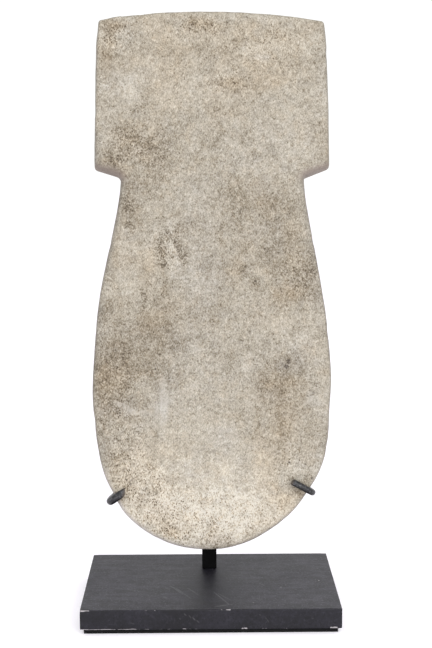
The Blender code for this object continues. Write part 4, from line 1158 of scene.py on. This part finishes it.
CLAW_BACK_Y, CLAW_BEND = 12.4, 6.5
CLAW_L = dict(tip=(-50.5, 36.3), front=(-59.3, 30.2), back=(-59.4, 29.5), y=-12.1, start_x=-2.3, plumb=True,
              swell=0.45)
CLAW_R = dict(tip=(48.3, 41.5), front=(60.8, 34.7), back=(60.6, 33.6), y=-12.2, start_x=0.9, plumb=False,
              swell=0.0)
ARM_Z = BASE_TOP + 88.0


def from_stone(u, y, v):
    return np.array([u, TIP_Y + y * math.cos(LEAN) + v * math.sin(LEAN),
                     TIP_Z - y * math.sin(LEAN) + v * math.cos(LEAN)])


def rod_path(corners, radius, step_deg):
    pts = [corners[0]]
    for a, b, c in zip(corners, corners[1:], corners[2:]):
        d1 = (a - b) / np.linalg.norm(a - b)
        d2 = (c - b) / np.linalg.norm(c - b)
        ang = math.acos(float(np.clip(d1 @ d2, -1, 1)))
        t = radius / math.tan(ang / 2)
        bis = (d1 + d2) / np.linalg.norm(d1 + d2)
        m = b + bis * (radius / math.sin(ang / 2))
        e1, e2 = b + d1 * t - m, b + d2 * t - m
        sweep = math.pi - ang
        n = max(2, int(math.ceil(math.degrees(sweep) / step_deg)))
        for i in range(n + 1):
            f = i / n
            pts.append(m + (math.sin((1 - f) * sweep) * e1 + math.sin(f * sweep) * e2) / math.sin(sweep))
    pts.append(corners[-1])
    return pts


def build_claw(name, c, seed):
    """A bent rod with a filed blunt tip; where swell is given it is a little thicker between its ends."""
    noise = Lumps(seed)
    corners = [from_stone(c["tip"][0], c["y"], c["tip"][1]),
               from_stone(c["front"][0], c["y"], c["front"][1]),
               from_stone(c["back"][0], CLAW_BACK_Y, c["back"][1]),
               np.array([c["start_x"], POST_FRONT - GAP - ROD_R, ARM_Z])]
    pts = np.array(rod_path(corners, CLAW_BEND, 6.0))
    run = np.concatenate([[0.0], np.cumsum(np.linalg.norm(np.diff(pts, axis=0), axis=1))])
    s = np.arange(0.0, run[-1], 0.7)
    s = np.append(s, run[-1])
    path = np.stack([np.interp(s, run, pts[:, i]) for i in range(3)], -1)
    thick = np.interp(s, run, [ROD_R] + [ROD_R + c["swell"]] * (len(pts) - 2) + [ROD_R])
    length = s[-1]
    tan = np.gradient(path, axis=0)
    tan /= np.linalg.norm(tan, axis=1, keepdims=True)
    sides = 24
    ref = np.cross(tan[0], (0, 0, 1.0))
    ref /= np.linalg.norm(ref)
    verts, rings = [], []
    for k in range(len(path)):
        ref = ref - tan[k] * (ref @ tan[k])
        ref /= np.linalg.norm(ref)
        bi = np.cross(tan[k], ref)
        r = thick[k]
        if s[k] < 0.7:                      # filed edge of the tip
            r -= (0.15 if c["plumb"] else 0.40) * (1 - s[k] / 0.7) ** 1.5
        ring = []
        for j in range(sides):
            a = 2 * math.pi * j / sides
            d = ref * math.cos(a) + bi * math.sin(a)
            ring.append(len(verts))
            verts.append(path[k] + d * r)
        rings.append(ring)
    v = np.array(verts)
    centre = np.repeat(path, sides, axis=0)
    out = v - centre
    out /= np.linalg.norm(out, axis=1, keepdims=True)
    if c["plumb"]:
        # the end is cut off plumb: the first rings slide along the rod onto the cut
        t0 = tan[0]
        slide = -(v - centre)[:, 0] / t0[0] * np.clip(1 - np.repeat(s, sides) / 4.5, 0, 1)
        v = v + t0 * slide[:, None]
    dull = noise(v, 7.0) * 0.06 + noise(v, 2.6) * 0.035
    v = v + out * (dull - 0.05)[:, None]
    faces = []
    for a, b in zip(rings, rings[1:]):
        for j in range(sides):
            k = (j + 1) % sides
            faces.append((a[j], a[k], b[k], b[j]))
    # tip: two shrinking rings and a middle point, slightly domed by the file
    v = list(v)
    last = rings[0]
    for share, bulge in ((0.80, 0.03), (0.45, 0.05)):
        ring = []
        for j in rings[0]:
            d = v[j] - path[0]
            ring.append(len(v))
            v.append(path[0] + d * share - tan[0] * bulge)
        for j in range(sides):
            k = (j + 1) % sides
            faces.append((last[k], last[j], ring[j], ring[k]))
        last = ring
    v.append(path[0] - tan[0] * 0.05)
    for j in range(sides):
        faces.append((last[(j + 1) % sides], last[j], len(v) - 1))
    v.append(path[-1])
    end = rings[-1]
    for j in range(sides):
        faces.append((end[j], end[(j + 1) % sides], len(v) - 1))
    v = np.array(v)
    ob = new_object(name, v * MM, faces)
    tip_d = np.linalg.norm(v - path[0], axis=1)
    worn = 0.26 + 0.26 * noise(v, 3.0) + 0.16 * noise(v, 1.4)
    set_mask(ob.data, "worn", np.clip(worn, 0, 1))
    cut = np.abs((v - path[0]) @ (np.array([1.0, 0, 0]) if c["plumb"] else tan[0]))
    set_mask(ob.data, "cut", 1.0 - ease(0.3, 1.9 if c["plumb"] else 1.1, cut + 0.4 * noise(v, 1.6)))
    nrm = vertex_normals(ob.data)
    # painted shade on the side of the rod that faces down
    set_mask(ob.data, "underside_shade", ease(0.15, 0.75, -nrm[:, 2]))
    ob.data.materials.append(paint_material(name + "_paint", (0.022, 0.0225, 0.0255), 0.38, linear(132, 128, 128),
                                            0.6, 0.38, 0.60, 0.85, hammer=4.0))
    return ob


# ============================================================================
# 8. Floor, light, camera
# ============================================================================
def build_stage():
    s = 6.0
    floor = new_object("floor", [(-s, -s, 0), (s, -s, 0), (s, s, 0), (-s, s, 0)], [(0, 1, 2, 3)], smooth=False)
    floor.location.z = -0.0001
    m = bpy.data.materials.new("pale_floor")
    m.use_nodes = True
    b = m.node_tree.nodes["Principled BSDF"]
    b.inputs["Base Color"].default_value = (0.760, 0.740, 0.790, 1.0)
    b.inputs["Emission Color"].default_value = (1.0, 0.98, 1.0, 1.0)
    b.inputs["Emission Strength"].default_value = 0.28
    b.inputs["Roughness"].default_value = 0.85
    floor.data.materials.append(m)

    world = bpy.data.worlds.new("studio")
    scene.world = world
    world.use_nodes = True
    world.node_tree.nodes["Background"].inputs["Color"].default_value = (1.0, 1.0, 1.0, 1.0)
    world.node_tree.nodes["Background"].inputs["Strength"].default_value = 1.0

    def softbox(name, at, size, power, target=(0.0, 0.0, 0.17)):
        light = bpy.data.lights.new(name, "AREA")
        light.shape = "RECTANGLE"
        light.size, light.size_y = size
        light.energy = power
        ob = bpy.data.objects.new(name, light)
        ob.location = at
        ob.visible_camera = False
        ob.rotation_euler = (Vector(target) - Vector(at)).to_track_quat("-Z", "Y").to_euler()
        scene.collection.objects.link(ob)

    softbox("key_right", (0.50, -1.20, 0.80), (0.9, 0.7), 8.0, (0.0, 0.0, 0.15))
    softbox("fill_left", (-0.95, -1.00, 0.70), (0.7, 0.8), 2.0)
    softbox("low_front", (0.05, -1.05, 0.14), (0.9, 0.24), 2.6, (0.0, 0.0, 0.06))
    softbox("back", (0.70, 1.40, 0.60), (0.8, 0.6), 1.2)
    scene.view_settings.view_transform = "Standard"
    scene.view_settings.look = "None"
    scene.view_settings.exposure = 0.12
    scene.view_settings.gamma = 1.0


def build_camera():
    pitch, yaw, roll = math.radians(8.378), math.radians(-0.5686), math.radians(-0.2309)
    fwd = Vector((-math.sin(yaw) * math.cos(pitch), math.cos(yaw) * math.cos(pitch), -math.sin(pitch)))
    right = Vector((math.cos(yaw), math.sin(yaw), 0.0))
    up = right.cross(fwd)
    r2 = right * math.cos(roll) + up * math.sin(roll)
    u2 = up * math.cos(roll) - right * math.sin(roll)
    data = bpy.data.cameras.new("camera")
    data.sensor_fit = "AUTO"
    data.sensor_width = 36.0
    data.lens = 72.916
    data.clip_start, data.clip_end = 0.05, 50.0
    cam = bpy.data.objects.new("camera", data)
    m = Matrix((r2, u2, -fwd)).transposed().to_4x4()
    m.translation = Vector((-0.00372, -0.77899, 0.28942))
    cam.matrix_world = m
    scene.collection.objects.link(cam)
    scene.camera = cam


# ============================================================================
# 9. Put together
# ============================================================================
build_camera()
build_stage()

stone = build_stone()
stone.data.materials.append(stone_material())
base = build_base()
felt = build_felt()
post = build_post()
claw_l = build_claw("left_claw", CLAW_L, 61)
claw_r = build_claw("right_claw", CLAW_R, 67)

for piece, node, slot in ((stone, "stone_axe", "stone"), (base, "stand_base", "stand_paint"),
                          (felt, "base_felt", "felt"), (post, "stand_post", "post_paint"),
                          (claw_l, "claw_left", "claw_paint"), (claw_r, "claw_right", "claw_paint")):
    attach(piece, "root")
    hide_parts(node)

bpy.context.view_layer.update()
